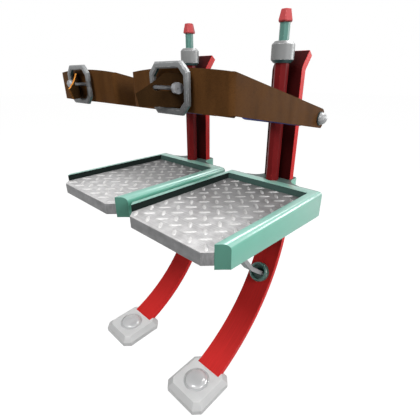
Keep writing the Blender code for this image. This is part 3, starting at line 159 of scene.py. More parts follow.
def makeEdgeWear():
    # shows a second colour in broken flecks where the mesh marks its edges
    group, entry, leave = newGroup("edgeWear", [
        ("Color", "NodeSocketColor", (0.5, 0.5, 0.5, 1)),
        ("Worn Color", "NodeSocketColor", (0.8, 0.8, 0.8, 1)),
        ("Scale", "NodeSocketFloat", 160.0),
        ("Spread", "NodeSocketFloat", 0.5),
    ], [("Color", "NodeSocketColor")])
    links = group.links
    place = addNode(group, "ShaderNodeTexCoord")
    marked = addNode(group, "ShaderNodeAttribute", attribute_name="rim")
    flecks = addNode(group, "ShaderNodeTexNoise")
    flecks.inputs["Detail"].default_value = 6
    links.new(place.outputs["Object"], flecks.inputs["Vector"])
    links.new(entry.outputs["Scale"], flecks.inputs["Scale"])
    level = addNode(group, "ShaderNodeMath", operation="SUBTRACT")
    links.new(flecks.outputs["Fac"], level.inputs[0])
    links.new(entry.outputs["Spread"], level.inputs[1])
    steep = addNode(group, "ShaderNodeMath", operation="MULTIPLY", use_clamp=True)
    steep.inputs[1].default_value = 12      # how sharply a fleck ends
    links.new(level.outputs[0], steep.inputs[0])
    mask = addNode(group, "ShaderNodeMath", operation="MULTIPLY")
    links.new(steep.outputs[0], mask.inputs[0])
    links.new(marked.outputs["Fac"], mask.inputs[1])
    mix = addNode(group, "ShaderNodeMix", data_type="RGBA")
    links.new(mask.outputs[0], mix.inputs["Factor"])
    links.new(entry.outputs["Color"], mix.inputs[6])
    links.new(entry.outputs["Worn Color"], mix.inputs[7])
    links.new(mix.outputs[2], leave.inputs["Color"])
    return group


def makeStreaks():
    # long scratches or fibres: noise that is stretched along one direction
    group, entry, leave = newGroup("streaks", [
        ("Vector", "NodeSocketVector", (0, 0, 0)),
    ], [("Value", "NodeSocketFloat")])
    links = group.links
    noise = addNode(group, "ShaderNodeTexNoise")
    noise.inputs["Detail"].default_value = 3
    noise.inputs["Scale"].default_value = 1.0       # the stretched vector sets the pitch
    links.new(entry.outputs["Vector"], noise.inputs["Vector"])
    links.new(noise.outputs["Fac"], leave.inputs["Value"])
    return group


def makeGrain():
    # leather grain: pebbles between creases, with pores
    strayScale, strayReach = 260, 0.0012        # how the creases stray, and by how many metres
    creaseWidth = 0.22
    poreScale, poreShare = 2200, 0.3
    group, entry, leave = newGroup("leatherGrain", [
        ("Scale", "NodeSocketFloat", 620.0),
    ], [("Height", "NodeSocketFloat"), ("Crease", "NodeSocketFloat")])
    links = group.links
    place = addNode(group, "ShaderNodeTexCoord")
    bend = addNode(group, "ShaderNodeTexNoise")
    bend.inputs["Scale"].default_value = strayScale
    links.new(place.outputs["Object"], bend.inputs["Vector"])
    shift = addNode(group, "ShaderNodeVectorMath", operation="MULTIPLY_ADD")
    shift.inputs[1].default_value = (strayReach, strayReach, strayReach)
    links.new(bend.outputs["Color"], shift.inputs[0])
    links.new(place.outputs["Object"], shift.inputs[2])
    cells = addNode(group, "ShaderNodeTexVoronoi", feature="DISTANCE_TO_EDGE")
    links.new(shift.outputs[0], cells.inputs["Vector"])
    links.new(entry.outputs["Scale"], cells.inputs["Scale"])
    soft = addNode(group, "ShaderNodeMapRange", interpolation_type="SMOOTHSTEP")
    soft.inputs["From Max"].default_value = creaseWidth
    links.new(cells.outputs["Distance"], soft.inputs["Value"])
    pores = addNode(group, "ShaderNodeTexNoise")
    pores.inputs["Scale"].default_value = poreScale
    links.new(place.outputs["Object"], pores.inputs["Vector"])
    both = addNode(group, "ShaderNodeMath", operation="MULTIPLY_ADD")
    both.inputs[1].default_value = poreShare
    links.new(pores.outputs["Fac"], both.inputs[0])
    links.new(soft.outputs[0], both.inputs[2])
    links.new(both.outputs[0], leave.inputs["Height"])
    links.new(soft.outputs[0], leave.inputs["Crease"])
    return group


def makeWeave():
    # plain weave of a padded cover
    group, entry, leave = newGroup("coverWeave", [
        ("Thread Scale", "NodeSocketFloat", 420.0),
    ], [("Height", "NodeSocketFloat")])
    links = group.links
    place = addNode(group, "ShaderNodeTexCoord")
    waves = []
    for axis in ("X", "Z"):
        wave = addNode(group, "ShaderNodeTexWave", bands_direction=axis, wave_profile="SIN")
        wave.inputs["Distortion"].default_value = 0.4
        links.new(place.outputs["Object"], wave.inputs["Vector"])
        links.new(entry.outputs["Thread Scale"], wave.inputs["Scale"])
        waves.append(wave)
    cross = addNode(group, "ShaderNodeMath", operation="MULTIPLY")
    links.new(waves[0].outputs["Fac"], cross.inputs[0])
    links.new(waves[1].outputs["Fac"], cross.inputs[1])
    links.new(cross.outputs[0], leave.inputs["Height"])
    return group


def makeFade():
    # a slow change from lighter to darker along one direction of the object, used for painted light and
    # shade
    group, entry, leave = newGroup("slowFade", [
        ("Color", "NodeSocketColor", (0.5, 0.5, 0.5, 1)),
        ("Direction", "NodeSocketVector", (0, 0, 1)),
        ("From", "NodeSocketFloat", 0.0),
        ("To", "NodeSocketFloat", 1.0),
        ("First", "NodeSocketFloat", 1.0),
        ("Last", "NodeSocketFloat", 1.0),
    ], [("Color", "NodeSocketColor")])
    links = group.links
    place = addNode(group, "ShaderNodeTexCoord")
    along = addNode(group, "ShaderNodeVectorMath", operation="DOT_PRODUCT")
    links.new(place.outputs["Object"], along.inputs[0])
    links.new(entry.outputs["Direction"], along.inputs[1])
    level = addNode(group, "ShaderNodeMapRange", interpolation_type="SMOOTHSTEP")
    links.new(along.outputs["Value"], level.inputs["Value"])
    for label, socket in (("From", "From Min"), ("To", "From Max"), ("First", "To Min"), ("Last", "To Max")):
        links.new(entry.outputs[label], level.inputs[socket])
    tint = addNode(group, "ShaderNodeVectorMath", operation="SCALE")
    links.new(entry.outputs["Color"], tint.inputs[0])
    links.new(level.outputs[0], tint.inputs["Scale"])
    links.new(tint.outputs[0], leave.inputs["Color"])
    return group


mottle = makeMottle()
edgeWear = makeEdgeWear()
streaks = makeStreaks()
leatherGrain = makeGrain()
coverWeave = makeWeave()
slowFade = makeFade()


def fromSrgb(red, green, blue):
    # a colour as it is seen on screen, made linear
    values = []
    for channel in (red, green, blue):
        share = channel / 255
        values.append(share / 12.92 if share <= 0.04045 else ((share + 0.055) / 1.055) ** 2.4)
    return (*values, 1)


def startMaterial(name, metallic=0.0, coat=0.0, coatRoughness=0.1, sheen=0.0, specular=0.5):
    material = bpy.data.materials.new(name)
    material.use_nodes = True
    tree = material.node_tree
    shader = tree.nodes["Principled BSDF"]
    shader.inputs["Metallic"].default_value = metallic
    shader.inputs["Coat Weight"].default_value = coat
    shader.inputs["Coat Roughness"].default_value = coatRoughness
    shader.inputs["Sheen Weight"].default_value = sheen
    shader.inputs["Specular IOR Level"].default_value = specular
    return material, tree, shader


def useGroup(tree, group, **values):
    node = addNode(tree, "ShaderNodeGroup", node_tree=group)
    for label, value in values.items():
        node.inputs[label.replace("_", " ")].default_value = value
    return node


def fadeColor(tree, color, fade):
    # fade: direction, where it starts and ends along it in metres, and the two levels
    if not fade:
        return color
    node = useGroup(tree, slowFade, Direction=fade[0], From=fade[1], To=fade[2], First=fade[3], Last=fade[4])
    tree.links.new(color, node.inputs["Color"])
    return node.outputs["Color"]


def addBump(tree, shader, height, strength, distance):
    bump = addNode(tree, "ShaderNodeBump")
    bump.inputs["Strength"].default_value = strength
    bump.inputs["Distance"].default_value = distance
    tree.links.new(height, bump.inputs["Height"])
    tree.links.new(bump.outputs["Normal"], shader.inputs["Normal"])


def mottled(tree, settings):
    return useGroup(tree, mottle, Color=settings["color"], Patch_Scale=settings["patch"],
                    Speck_Scale=settings["speck"], Amount=settings["amount"],
                    Roughness=settings["roughness"])


def tinted(tree, color, pattern, span, levels):
    # a pattern's value, from one end of its span to the other, sets how light the colour is
    level = addNode(tree, "ShaderNodeMapRange")
    for label, number in zip(("From Min", "From Max", "To Min", "To Max"), (*span, *levels)):
        level.inputs[label].default_value = number
    tree.links.new(pattern, level.inputs["Value"])
    tint = addNode(tree, "ShaderNodeVectorMath", operation="SCALE")
    tree.links.new(color, tint.inputs[0])
    tree.links.new(level.outputs[0], tint.inputs["Scale"])
    return tint.outputs[0]


def finishColor(tree, shader, base, color, settings):
    # worn or cut edges over the colour, then its slow fade
    worn = useGroup(tree, edgeWear, Worn_Color=settings["worn"], Scale=settings["wearScale"],
                    Spread=settings["spread"])
    tree.links.new(color, worn.inputs["Color"])
    tree.links.new(fadeColor(tree, worn.outputs["Color"], settings.get("fade")),
                   shader.inputs["Base Color"])
    tree.links.new(base.outputs["Roughness"], shader.inputs["Roughness"])


# paints, mouldings and bare alloys, with painted shade and highlight colours

paintBase = {
    "metallic": 0.0, "coat": 0.0, "coatRoughness": 0.2, "specular": 0.3, "roughness": 0.45,
    "patch": 30, "speck": 900, "amount": 0.16, "bump": 0.05, "ripple": 0.0004,
    "wearScale": 150, "spread": 0.55,
}
enamelBase = {"specular": 0.1, "patch": 26, "speck": 1500, "wearScale": 130, "spread": 0.5}
# painted shade: the inner walls of the tray between the rails are coloured dark
wallShadeBase = {"specular": 0.08, "roughness": 0.65, "amount": 0.25}
castBase = {"metallic": 0.15, "coat": 0.05, "patch": 55, "speck": 1200,
            "worn": fromSrgb(206, 207, 208), "wearScale": 200, "spread": 0.5}
footBase = {"coat": 0.25, "specular": 0.35, "roughness": 0.4, "patch": 40, "amount": 0.14,
            "wearScale": 120, "spread": 0.5}
steelBase = {"metallic": 0.5, "specular": 0.5, "roughness": 0.34, "patch": 120, "speck": 1600,
             "amount": 0.2, "worn": fromSrgb(212, 212, 214), "wearScale": 260, "spread": 0.5}

paintSettings = {
    "seaGreenEnamel": {"color": fromSrgb(120, 196, 174), "coat": 1.0, "coatRoughness": 0.33,
                       "specular": 0.1, "patch": 22, "amount": 0.14, "bump": 0.03,
                       "worn": fromSrgb(176, 220, 206), "spread": 0.56},
    "tealCup": {"color": fromSrgb(66, 108, 98), "coat": 0.5, "coatRoughness": 0.16,
                "roughness": 0.4, "patch": 40, "amount": 0.2, "bump": 0.03,
                "worn": fromSrgb(150, 206, 192), "spread": 0.45},
    # painted shade: the rear rail's up-facing top and tab are coloured a darker, greyer teal
    "rearTopPaintedShade": {**enamelBase, "color": fromSrgb(80, 100, 95), "coat": 0.3, "coatRoughness": 0.4,
                     "roughness": 0.5, "amount": 0.1, "worn": fromSrgb(140, 176, 166)},
    # painted shade: the rails' forward-facing end faces are coloured darker than their sides
    "railEndPaintedShade": {**enamelBase, "color": fromSrgb(84, 138, 122), "coat": 0.3, "coatRoughness": 0.33,
                  "roughness": 0.5, "amount": 0.08, "worn": fromSrgb(140, 200, 184)},
    # painted highlight: the rails' up-facing crests are coloured a paler, whiter teal
    "crestPaintedHighlight": {**enamelBase, "color": fromSrgb(150, 208, 192), "coat": 1.0, "coatRoughness": 0.3,
                    "amount": 0.08, "worn": fromSrgb(196, 232, 222)},
    "rearWallPaintedShade": {**wallShadeBase, "color": fromSrgb(78, 104, 98), "worn": fromSrgb(90, 118, 110)},
    "innerWallPaintedShade": {**wallShadeBase, "color": fromSrgb(22, 33, 30), "worn": fromSrgb(60, 88, 80)},
    "redTubePaint": {"color": fromSrgb(118, 23, 25), "coatRoughness": 0.25, "specular": 0.12,
                     "bump": 0.02, "worn": fromSrgb(158, 44, 44), "wearScale": 160, "spread": 0.6},
    "redCapMoulding": {"color": fromSrgb(202, 76, 78), "coat": 0.05, "coatRoughness": 0.3,
                       "specular": 0.25, "roughness": 0.5, "patch": 90, "speck": 1400, "bump": 0.06,
                       "worn": fromSrgb(220, 112, 110), "wearScale": 240, "spread": 0.52},
    "seaGreenRod": {"color": fromSrgb(104, 150, 140), "specular": 0.15, "roughness": 0.38,
                    "patch": 60, "bump": 0.02, "worn": fromSrgb(150, 190, 178), "wearScale": 220,
                    "spread": 0.58},
    "paleCastAlloy": {**castBase, "color": fromSrgb(164, 165, 166)},
    "collarAlloy": {**castBase, "color": fromSrgb(140, 141, 141)},
    # the buckle's alloy colour with painted shade: darker at its bottom, lighter at its top
    "buckleAlloyAndPaintedShade": {**castBase, "color": fromSrgb(128, 130, 131), "patch": 60, "speck": 1300,
                    "worn": fromSrgb(190, 191, 192), "wearScale": 240, "spread": 0.47,
                    "fade": ((0, 0, 1), 0.178, 0.246, 0.5, 1.2)},
    # painted shade: down-facing faces of the grey alloy parts are coloured dark teal
    "undersidePaintedShade": {"color": fromSrgb(60, 88, 86), "metallic": 0.2, "coat": 0.1, "patch": 55,
                      "speck": 1200, "amount": 0.2, "worn": fromSrgb(96, 122, 120), "wearScale": 200},
    "paleFootMoulding": {**footBase, "color": fromSrgb(232, 232, 232),
                         "worn": fromSrgb(232, 232, 232)},
    # painted shade: the foot's sloping sides are coloured darker than its top
    "footSidePaintedShade": {**footBase, "color": fromSrgb(204, 204, 204), "worn": fromSrgb(206, 206, 206)},
    "glossyStud": {"color": fromSrgb(206, 206, 207), "coat": 0.8, "coatRoughness": 0.06,
                   "specular": 0.5, "roughness": 0.22, "patch": 60, "amount": 0.12, "bump": 0.02,
                   "worn": fromSrgb(150, 150, 152), "wearScale": 160},
    "brightSteel": {**steelBase, "color": fromSrgb(150, 151, 154)},
    # the prong's shank is coloured darker than its knob
    "darkerShankSteel": {**steelBase, "color": fromSrgb(96, 97, 99)},
    # painted shade: the bolt's flange against the strap is coloured near black
    "boltBasePaintedShade": {"color": fromSrgb(46, 54, 54), "metallic": 0.3, "specular": 0.2,
                   "roughness": 0.5, "patch": 120, "speck": 1600, "amount": 0.25,
                   "worn": fromSrgb(90, 98, 98), "wearScale": 260, "spread": 0.52},
}


def paintMaterial(name, settings):
    # mottled colour with worn edges and a faint ripple
    material, tree, shader = startMaterial(name, settings["metallic"], settings["coat"],
                                           settings["coatRoughness"], 0.0, settings["specular"])
    base = mottled(tree, settings)
    finishColor(tree, shader, base, base.outputs["Color"], settings)
    addBump(tree, shader, base.outputs["Height"], settings["bump"], settings["ripple"])
    return material


paints = {name: paintMaterial(name, {**paintBase, **values}) for name, values in paintSettings.items()}


# rolled tread plate: cloudy grey with fine crossing scuffs, and a painted reflection

treadBase = {
    "metallic": 0.2, "speck": 1500, "scuffTurn": 38, "scuffScale": (14, 420, 60),
    "scuffSpan": (0.42, 0.66), "bump": 0.18, "ripple": 0.0005, "wearScale": 180, "spread": 0.5,
}
treadPaintedReflection = ((0, 1, 0), -0.15, 0.15, 1.6, 0.42)    # painted reflection: brightest at the toes, darker towards the heel
lugPaintedReflection = ((0, 1, 0), -0.15, 0.15, 1.3, 0.66)


def treadMaterial(name, settings):
    material, tree, shader = startMaterial(name, settings["metallic"], specular=settings["specular"])
    base = mottled(tree, settings)
    place = addNode(tree, "ShaderNodeTexCoord")
    turned = addNode(tree, "ShaderNodeMapping")
    turned.inputs["Rotation"].default_value = (0, 0, math.radians(settings["scuffTurn"]))
    turned.inputs["Scale"].default_value = settings["scuffScale"]
    tree.links.new(place.outputs["Object"], turned.inputs["Vector"])
    scuffs = useGroup(tree, streaks)
    tree.links.new(turned.outputs["Vector"], scuffs.inputs["Vector"])
    color = tinted(tree, base.outputs["Color"], scuffs.outputs["Value"], settings["scuffSpan"],
                   (1.0 - settings["scuff"], 1.0 + settings["scuff"]))
    finishColor(tree, shader, base, color, settings)
    addBump(tree, shader, base.outputs["Height"], settings["bump"], settings["ripple"])
    return material


rolledTread = treadMaterial("rolledTread", {
    **treadBase, "color": fromSrgb(178, 177, 177), "patch": 60, "amount": 0.7, "roughness": 0.46,
    "specular": 0.3, "scuff": 0.09, "worn": fromSrgb(160, 159, 158), "fade": treadPaintedReflection})
# painted shade: the tread's front and side faces are coloured darker than its top
treadSidePaintedShade = treadMaterial("treadSidePaintedShade", {
    **treadBase, "color": fromSrgb(140, 140, 141), "patch": 45, "amount": 1.1, "roughness": 0.5,
    "specular": 0.2, "scuff": 0.1, "worn": fromSrgb(160, 160, 160)})
# the lugs' pale colour is partly polish from wear and partly a painted highlight
lugPolishAndPaintedHighlight = treadMaterial("lugPolishAndPaintedHighlight", {
    **treadBase, "color": fromSrgb(222, 221, 220), "metallic": 0.0, "patch": 120, "amount": 0.5,
    "roughness": 0.4, "specular": 0.35, "scuff": 0.06, "worn": fromSrgb(236, 235, 234),
    "spread": 0.45, "fade": lugPaintedReflection})


# red laminate with faint fibres along its length, and its painted shade

laminateBase = {
    "coat": 0.0, "coatRoughness": 0.25, "roughness": 0.5, "patch": 14, "speck": 1100,
    "fibreScale": (900, 10, 10), "fibreSpan": (0.3, 0.7), "fibreLevels": (0.9, 1.1),
    "bump": 0.06, "ripple": 0.0004, "wearScale": 120, "spread": 0.5,
}


def laminateMaterial(name, settings):
    material, tree, shader = startMaterial(name, 0.0, settings["coat"], settings["coatRoughness"],
                                           0.0, settings["specular"])
    base = mottled(tree, settings)
    place = addNode(tree, "ShaderNodeTexCoord")
    fibres = useGroup(tree, streaks)
    tree.links.new(scaledPoint(tree, place.outputs["Object"], settings["fibreScale"]),
                   fibres.inputs["Vector"])
    color = tinted(tree, base.outputs["Color"], fibres.outputs["Value"], settings["fibreSpan"],
                   settings["fibreLevels"])
    finishColor(tree, shader, base, color, settings)
    addBump(tree, shader, fibres.outputs["Value"], settings["bump"], settings["ripple"])
    return material


redLaminate = laminateMaterial("redLaminate", {
    **laminateBase, "color": fromSrgb(226, 36, 36), "coat": 0.04, "amount": 0.18, "specular": 0.12,
    "worn": fromSrgb(232, 58, 54)})
# painted shade: the leaf's bow darkens upwards towards the deck above it
bowLaminatePaintedShade = laminateMaterial("bowLaminatePaintedShade", {
    **laminateBase, "color": fromSrgb(216, 46, 44), "amount": 0.14, "specular": 0.1,
    "worn": fromSrgb(232, 70, 66), "fade": ((0, 0, 1), -0.21, -0.085, 1.0, 0.14)})
# painted shade: the back bar's forward-facing faces are coloured near black
barFacePaintedShade = laminateMaterial("barFacePaintedShade", {
    **laminateBase, "color": fromSrgb(62, 12, 12), "roughness": 0.6, "amount": 0.3,
    "specular": 0.05, "worn": fromSrgb(64, 12, 12), "spread": 0.56})


# strap leather: grained, smeared and creased, with its cut edge as the worn colour

leatherBase = {
    "coatRoughness": 0.35, "specular": 0.03, "speck": 1800, "amount": 0.4, "grainScale": 620,
    "smearScale": (45, 45, 9), "smearSpan": (0.3, 0.7), "smearLevels": (0.82, 1.18),
    "creaseSpan": (0.0, 1.0), "creaseLevels": (0.72, 1.0), "bump": 0.35, "ripple": 0.0003,
    "wearScale": 90,
}


def leatherMaterial(name, settings):
    material, tree, shader = startMaterial(name, 0.0, 0.0, settings["coatRoughness"], 0.0,
                                           settings["specular"])
    base = mottled(tree, settings)
    place = addNode(tree, "ShaderNodeTexCoord")
    grain = useGroup(tree, leatherGrain, Scale=settings["grainScale"])
    smears = useGroup(tree, streaks)
    tree.links.new(scaledPoint(tree, place.outputs["Object"], settings["smearScale"]),
                   smears.inputs["Vector"])
    color = tinted(tree, base.outputs["Color"], smears.outputs["Value"], settings["smearSpan"],
                   settings["smearLevels"])
    color = tinted(tree, color, grain.outputs["Crease"], settings["creaseSpan"],
                   settings["creaseLevels"])
    finishColor(tree, shader, base, color, settings)
    addBump(tree, shader, grain.outputs["Height"], settings["bump"], settings["ripple"])
    return material


strapLeather = leatherMaterial("strapLeather", {
    **leatherBase, "color": fromSrgb(130, 87, 48), "roughness": 0.58, "patch": 26,
    "worn": fromSrgb(46, 30, 16), "spread": 0.36, "fade": ((0, 1, 0), -0.244, -0.234, 1.35, 0.56)})
# painted shade: the strap's free end is coloured a darker brown than the band
endLeatherPaintedShade = leatherMaterial("endLeatherPaintedShade", {
    **leatherBase, "color": fromSrgb(62, 42, 22), "roughness": 0.6, "patch": 30,
    "worn": fromSrgb(222, 146, 66), "spread": 0.3})


# woven cover of the calf pad

coverBase = {
    "coatRoughness": 0.3, "sheen": 0.3, "patch": 40, "speck": 1600, "amount": 0.35,
    "roughness": 0.75, "threadScale": 420, "bump": 0.35, "ripple": 0.0004,
}


def coverMaterial(name, settings):
    material, tree, shader = startMaterial(name, 0.0, 0.0, settings["coatRoughness"],
                                           settings["sheen"])
    base = mottled(tree, settings)
    weave = useGroup(tree, coverWeave, Thread_Scale=settings["threadScale"])
    tree.links.new(base.outputs["Color"], shader.inputs["Base Color"])
    tree.links.new(base.outputs["Roughness"], shader.inputs["Roughness"])
    addBump(tree, shader, weave.outputs["Height"], settings["bump"], settings["ripple"])
    return material


padCover = coverMaterial("padCover", {**coverBase, "color": fromSrgb(30, 62, 176)})
padPiping = coverMaterial("padPiping", {**coverBase, "color": fromSrgb(20, 40, 120)})
print("materials made")


# piece helpers

weldReach = 0.00001       # points this near to each other become one


def addPiece(name, bm, materials, body, replacing=(), sharp=40):
    plain = bm.faces.layers.int.get("plain")
    for face in bm.faces:
        face.smooth = not (plain and face[plain])
    mesh = bpy.data.meshes.new(name)
    bm.to_mesh(mesh)
    bm.free()
    for material in materials:
        mesh.materials.append(material)
    mesh.set_sharp_from_angle(angle=math.radians(sharp))
    piece = bpy.data.objects.new(name, mesh)
    bpy.context.collection.objects.link(piece)
    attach(piece, body)
    if replacing:
        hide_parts(*replacing)
    return piece


def placeOnStilt(bm, side):
    # a piece is drawn round the middle of the left stilt and mirrored for the right one
    bmesh.ops.remove_doubles(bm, verts=bm.verts, dist=weldReach)
    bmesh.ops.translate(bm, verts=bm.verts, vec=(halfPitch, 0, 0))
    if side < 0:
        bmesh.ops.scale(bm, verts=bm.verts, vec=(-1, 1, 1))
    bmesh.ops.recalc_face_normals(bm, faces=bm.faces)


def markRim(bm, faces):
    layer = bm.faces.layers.float.get("rim") or bm.faces.layers.float.new("rim")
    for face in faces:
        face[layer] = 1.0


flatAngle = 1             # degrees under which neighbouring triangles are one face


def edgedCopy(node, settings):
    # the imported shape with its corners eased, and the eased strips marked as worn edges
    bm = bmesh.new()
    bm.from_mesh(nodes[node].data)
    bmesh.ops.remove_doubles(bm, verts=bm.verts, dist=2 * weldReach)
    bmesh.ops.dissolve_limit(bm, angle_limit=math.radians(flatAngle), verts=bm.verts, edges=bm.edges)
    corners = [edge for edge in bm.edges if len(edge.link_faces) == 2
               and edge.calc_face_angle(0) > math.radians(settings["angle"])]
    bm.faces.layers.float.new("rim")
    plain = bm.faces.layers.int.new("plain")
    bounds = set(corners)
    for face in bm.faces:
        face[plain] = all(edge in bounds for edge in face.edges)    # shaded flat between its corners
    eased = bmesh.ops.bevel(bm, geom=corners, offset=settings["ease"], segments=settings["segments"],
                            profile=0.5, affect="EDGES", material=-1, clamp_overlap=True)
    markRim(bm, eased["faces"])
    for face in eased["faces"]:
        face[plain] = 0
    materials = [settings["material"]]
    for other, picks in settings["others"]:
        materials.append(other)
        for face in bm.faces:
            if picks(face.calc_center_median(), face.normal):
                face.material_index = len(materials) - 1
    body = [name for name, members in frame["record"]["behaviour"]["bodies"].items() if node in members]
    return addPiece(node + "Finish", bm, materials, body[0], [node],
                    settings["sharp"])


# faces of a imported shape that take another colour, most of them painted shade and one a painted highlight,
# by a face's middle and its direction

wallShadeReach = 0.1012       # from a stilt's middle to just past the rails' inner walls
wallShadeRear = 0.1425        # just past the rear rail's inner wall
wallShadeFloor = -0.03        # below the inner walls
topRear = 0.142           # between the side rails' crests and the rear rail's top
crestFloor = -0.005       # below the rails' crests
railEndRear = -0.08       # the rails' front ends lie in front of this
shankReach = 0.1428       # from the pair's middle to where the prong's knob starts

wallFacing = 0.7          # the least share of a direction that counts as facing that way
topFacing = 0.6
bowFacing = 0.5
underFacing = 0.4
crestFacing = 0.35
endTilt = 0.3
slopeFacing = 0.85
bowRise = 0.1


# the tray's inner walls, which take the painted shade
def inTray(place):
    return (abs(abs(place.x) - halfPitch) < wallShadeReach and wallShadeFloor < place.z
            and place.y < wallShadeRear)


def onShadedSideWall(place, facing):
    return inTray(place) and abs(facing.x) > wallFacing


def onShadedRearWall(place, facing):
    return inTray(place) and facing.y < -wallFacing and place.y > 0


def onRearTop(place, facing):
    return facing.z > topFacing and place.y > topRear


def onRailEnd(place, facing):
    return facing.y < -topFacing and place.y < railEndRear and abs(facing.z) < endTilt


def onRailCrest(place, facing):
    return facing.z > crestFacing and place.y < topRear and place.z > crestFloor


def facesDown(place, facing):
    return facing.z < -underFacing


def underBuckle(place, facing):
    return facing.z < -underFacing and abs(facing.y) < underFacing


def facesForward(place, facing):
    return facing.y < -bowFacing


def facesAside(place, facing):
    return abs(facing.z) < topFacing


def slopesAside(place, facing):
    return facing.z < slopeFacing


def insideBow(place, facing):
    return abs(facing.x) < bowFacing and (facing.z > bowRise or facing.y < -bowFacing)


def onShank(place, facing):
    return abs(place.x) < shankReach


edgeBase = {"ease": 0.0006, "segments": 2, "angle": 40, "sharp": 25, "others": ()}
edgedPieces = {
    "deck_frame": {"material": paints["seaGreenEnamel"], "slot": "frame", "ease": 0.0012, "angle": 32,
                   "others": ((paints["innerWallPaintedShade"], onShadedSideWall), (paints["rearWallPaintedShade"], onShadedRearWall),
                              (paints["rearTopPaintedShade"], onRearTop), (paints["railEndPaintedShade"], onRailEnd),
                              (paints["crestPaintedHighlight"], onRailCrest))},
    "tread_plate": {"material": rolledTread, "slot": "tread", "others": ((treadSidePaintedShade, facesAside),)},
    "damper_tube": {"material": paints["redTubePaint"], "slot": "tube", "ease": 0.0008, "angle": 30,
                    "sharp": 10},
    "damper_collar": {"material": paints["collarAlloy"], "slot": "alloy", "ease": 0.0007,
                      "segments": 1, "angle": 30, "sharp": 20,
                      "others": ((paints["undersidePaintedShade"], facesDown),)},
    "damper_rod": {"material": paints["seaGreenRod"], "slot": "rod", "angle": 30, "sharp": 10},
    "rod_cap": {"material": paints["redCapMoulding"], "slot": "cap", "ease": 0.0009, "angle": 30,
                "sharp": 15},
    "back_bar": {"material": redLaminate, "slot": "spring", "ease": 0.0009,
                 "others": ((barFacePaintedShade, facesForward),)},
    "leaf_spring": {"material": redLaminate, "slot": "spring", "ease": 0.0009,
                    "others": ((bowLaminatePaintedShade, insideBow),)},
    "foot_block": {"material": paints["paleFootMoulding"], "slot": "foot", "ease": 0.0026,
                   "segments": 4, "angle": 25, "sharp": 60,
                   "others": ((paints["footSidePaintedShade"], slopesAside),)},
    "link_cup": {"material": paints["tealCup"], "slot": "frame", "sharp": 35},
    "link_arm": {"material": paints["paleCastAlloy"], "slot": "alloy", "ease": 0.0009,
                 "others": ((paints["undersidePaintedShade"], facesDown),)},
    "link_guide": {"material": paints["seaGreenEnamel"], "slot": "frame"},
    "cuff_yoke": {"material": paints["seaGreenEnamel"], "slot": "frame", "ease": 0.0007},
    "buckle_frame": {"material": paints["buckleAlloyAndPaintedShade"], "slot": "alloy", "ease": 0.0012, "angle": 30,
                     "others": ((paints["undersidePaintedShade"], underBuckle),)},
    "buckle_prong": {"material": paints["brightSteel"], "slot": "steel", "ease": 0.0004, "angle": 30,
                     "others": ((paints["darkerShankSteel"], onShank),)},
}

for sideName in sides:
    for pieceName, settings in edgedPieces.items():
        edgedCopy(f"{sideName}_{pieceName}", {**edgeBase, **settings})
print("rigid pieces eased")


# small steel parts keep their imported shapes

for sideName in sides:
    for part in ("leaf_pin", "link_lower_pin", "link_upper_pin", "cup_nut", "guide_screw_inner",
                 "guide_screw_outer", "damper_spring"):
        mesh = nodes[f"{sideName}_{part}"].data
        mesh.materials.clear()
        mesh.materials.append(paints["brightSteel"])


# each coil in a tube gets a mesh of its own

for sideName in sides:
    coil = nodes[f"{sideName}_damper_spring"]
    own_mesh(coil)
print("pins, screws and coils finished")


# raised lugs of the tread

lugSettings = {
    "length": 0.0225, "width": 0.0072, "height": 0.0013, "crestLength": 0.75, "crestWidth": 0.55,
    "segments": 12, "pitch": 0.0343, "offsetX": 0.0142, "offsetY": 0.0150, "margin": 0.0092,
    "columns": 4, "rows": 9, "turns": (135, 45), "sharp": 60,
}


def addLug(bm, place, settings):
    outline = Matrix.Diagonal((settings["length"], settings["width"], 1, 1))
    base = bmesh.ops.create_circle(bm, cap_ends=True, segments=settings["segments"], radius=0.5,
                                   matrix=place @ outline)
    faces = list({face for vert in base["verts"] for face in vert.link_faces})
    raised = bmesh.ops.extrude_face_region(bm, geom=faces)
    crest = [item for item in raised["geom"] if isinstance(item, bmesh.types.BMVert)]
    bmesh.ops.translate(bm, verts=crest, vec=(0, 0, settings["height"]))
    bmesh.ops.scale(bm, verts=crest, vec=(settings["crestLength"], settings["crestWidth"], 1),
                    space=place.inverted())
    bmesh.ops.delete(bm, geom=faces, context="FACES_ONLY")


def addLugs(sideName, settings):
    # two lattices of lugs, each turned a quarter from the other
    low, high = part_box("left_tread_plate")
    low = low - Vector((halfPitch, 0, 0))
    high = high - Vector((halfPitch, 0, 0))
    margin, pitch = settings["margin"], settings["pitch"]
    bm = bmesh.new()
    for lattice, turn in enumerate(settings["turns"]):
        for column in range(-settings["columns"], settings["columns"] + 1):
            for row in range(settings["rows"]):
                x = settings["offsetX"] + (column + lattice / 2) * pitch
                y = low.y + settings["offsetY"] + (row + lattice / 2) * pitch
                if low.x + margin < x < high.x - margin and y < high.y - margin:
                    addLug(bm, Matrix.Translation((x, y, high.z))
                           @ Matrix.Rotation(math.radians(turn), 4, "Z"), settings)
    placeOnStilt(bm, sides[sideName])
    addPiece(f"{sideName}TreadLugs", bm, [lugPolishAndPaintedHighlight], "frames",
             sharp=settings["sharp"])


for sideName in sides:
    addLugs(sideName, lugSettings)
print("tread lugs raised")


# strap band and its free end

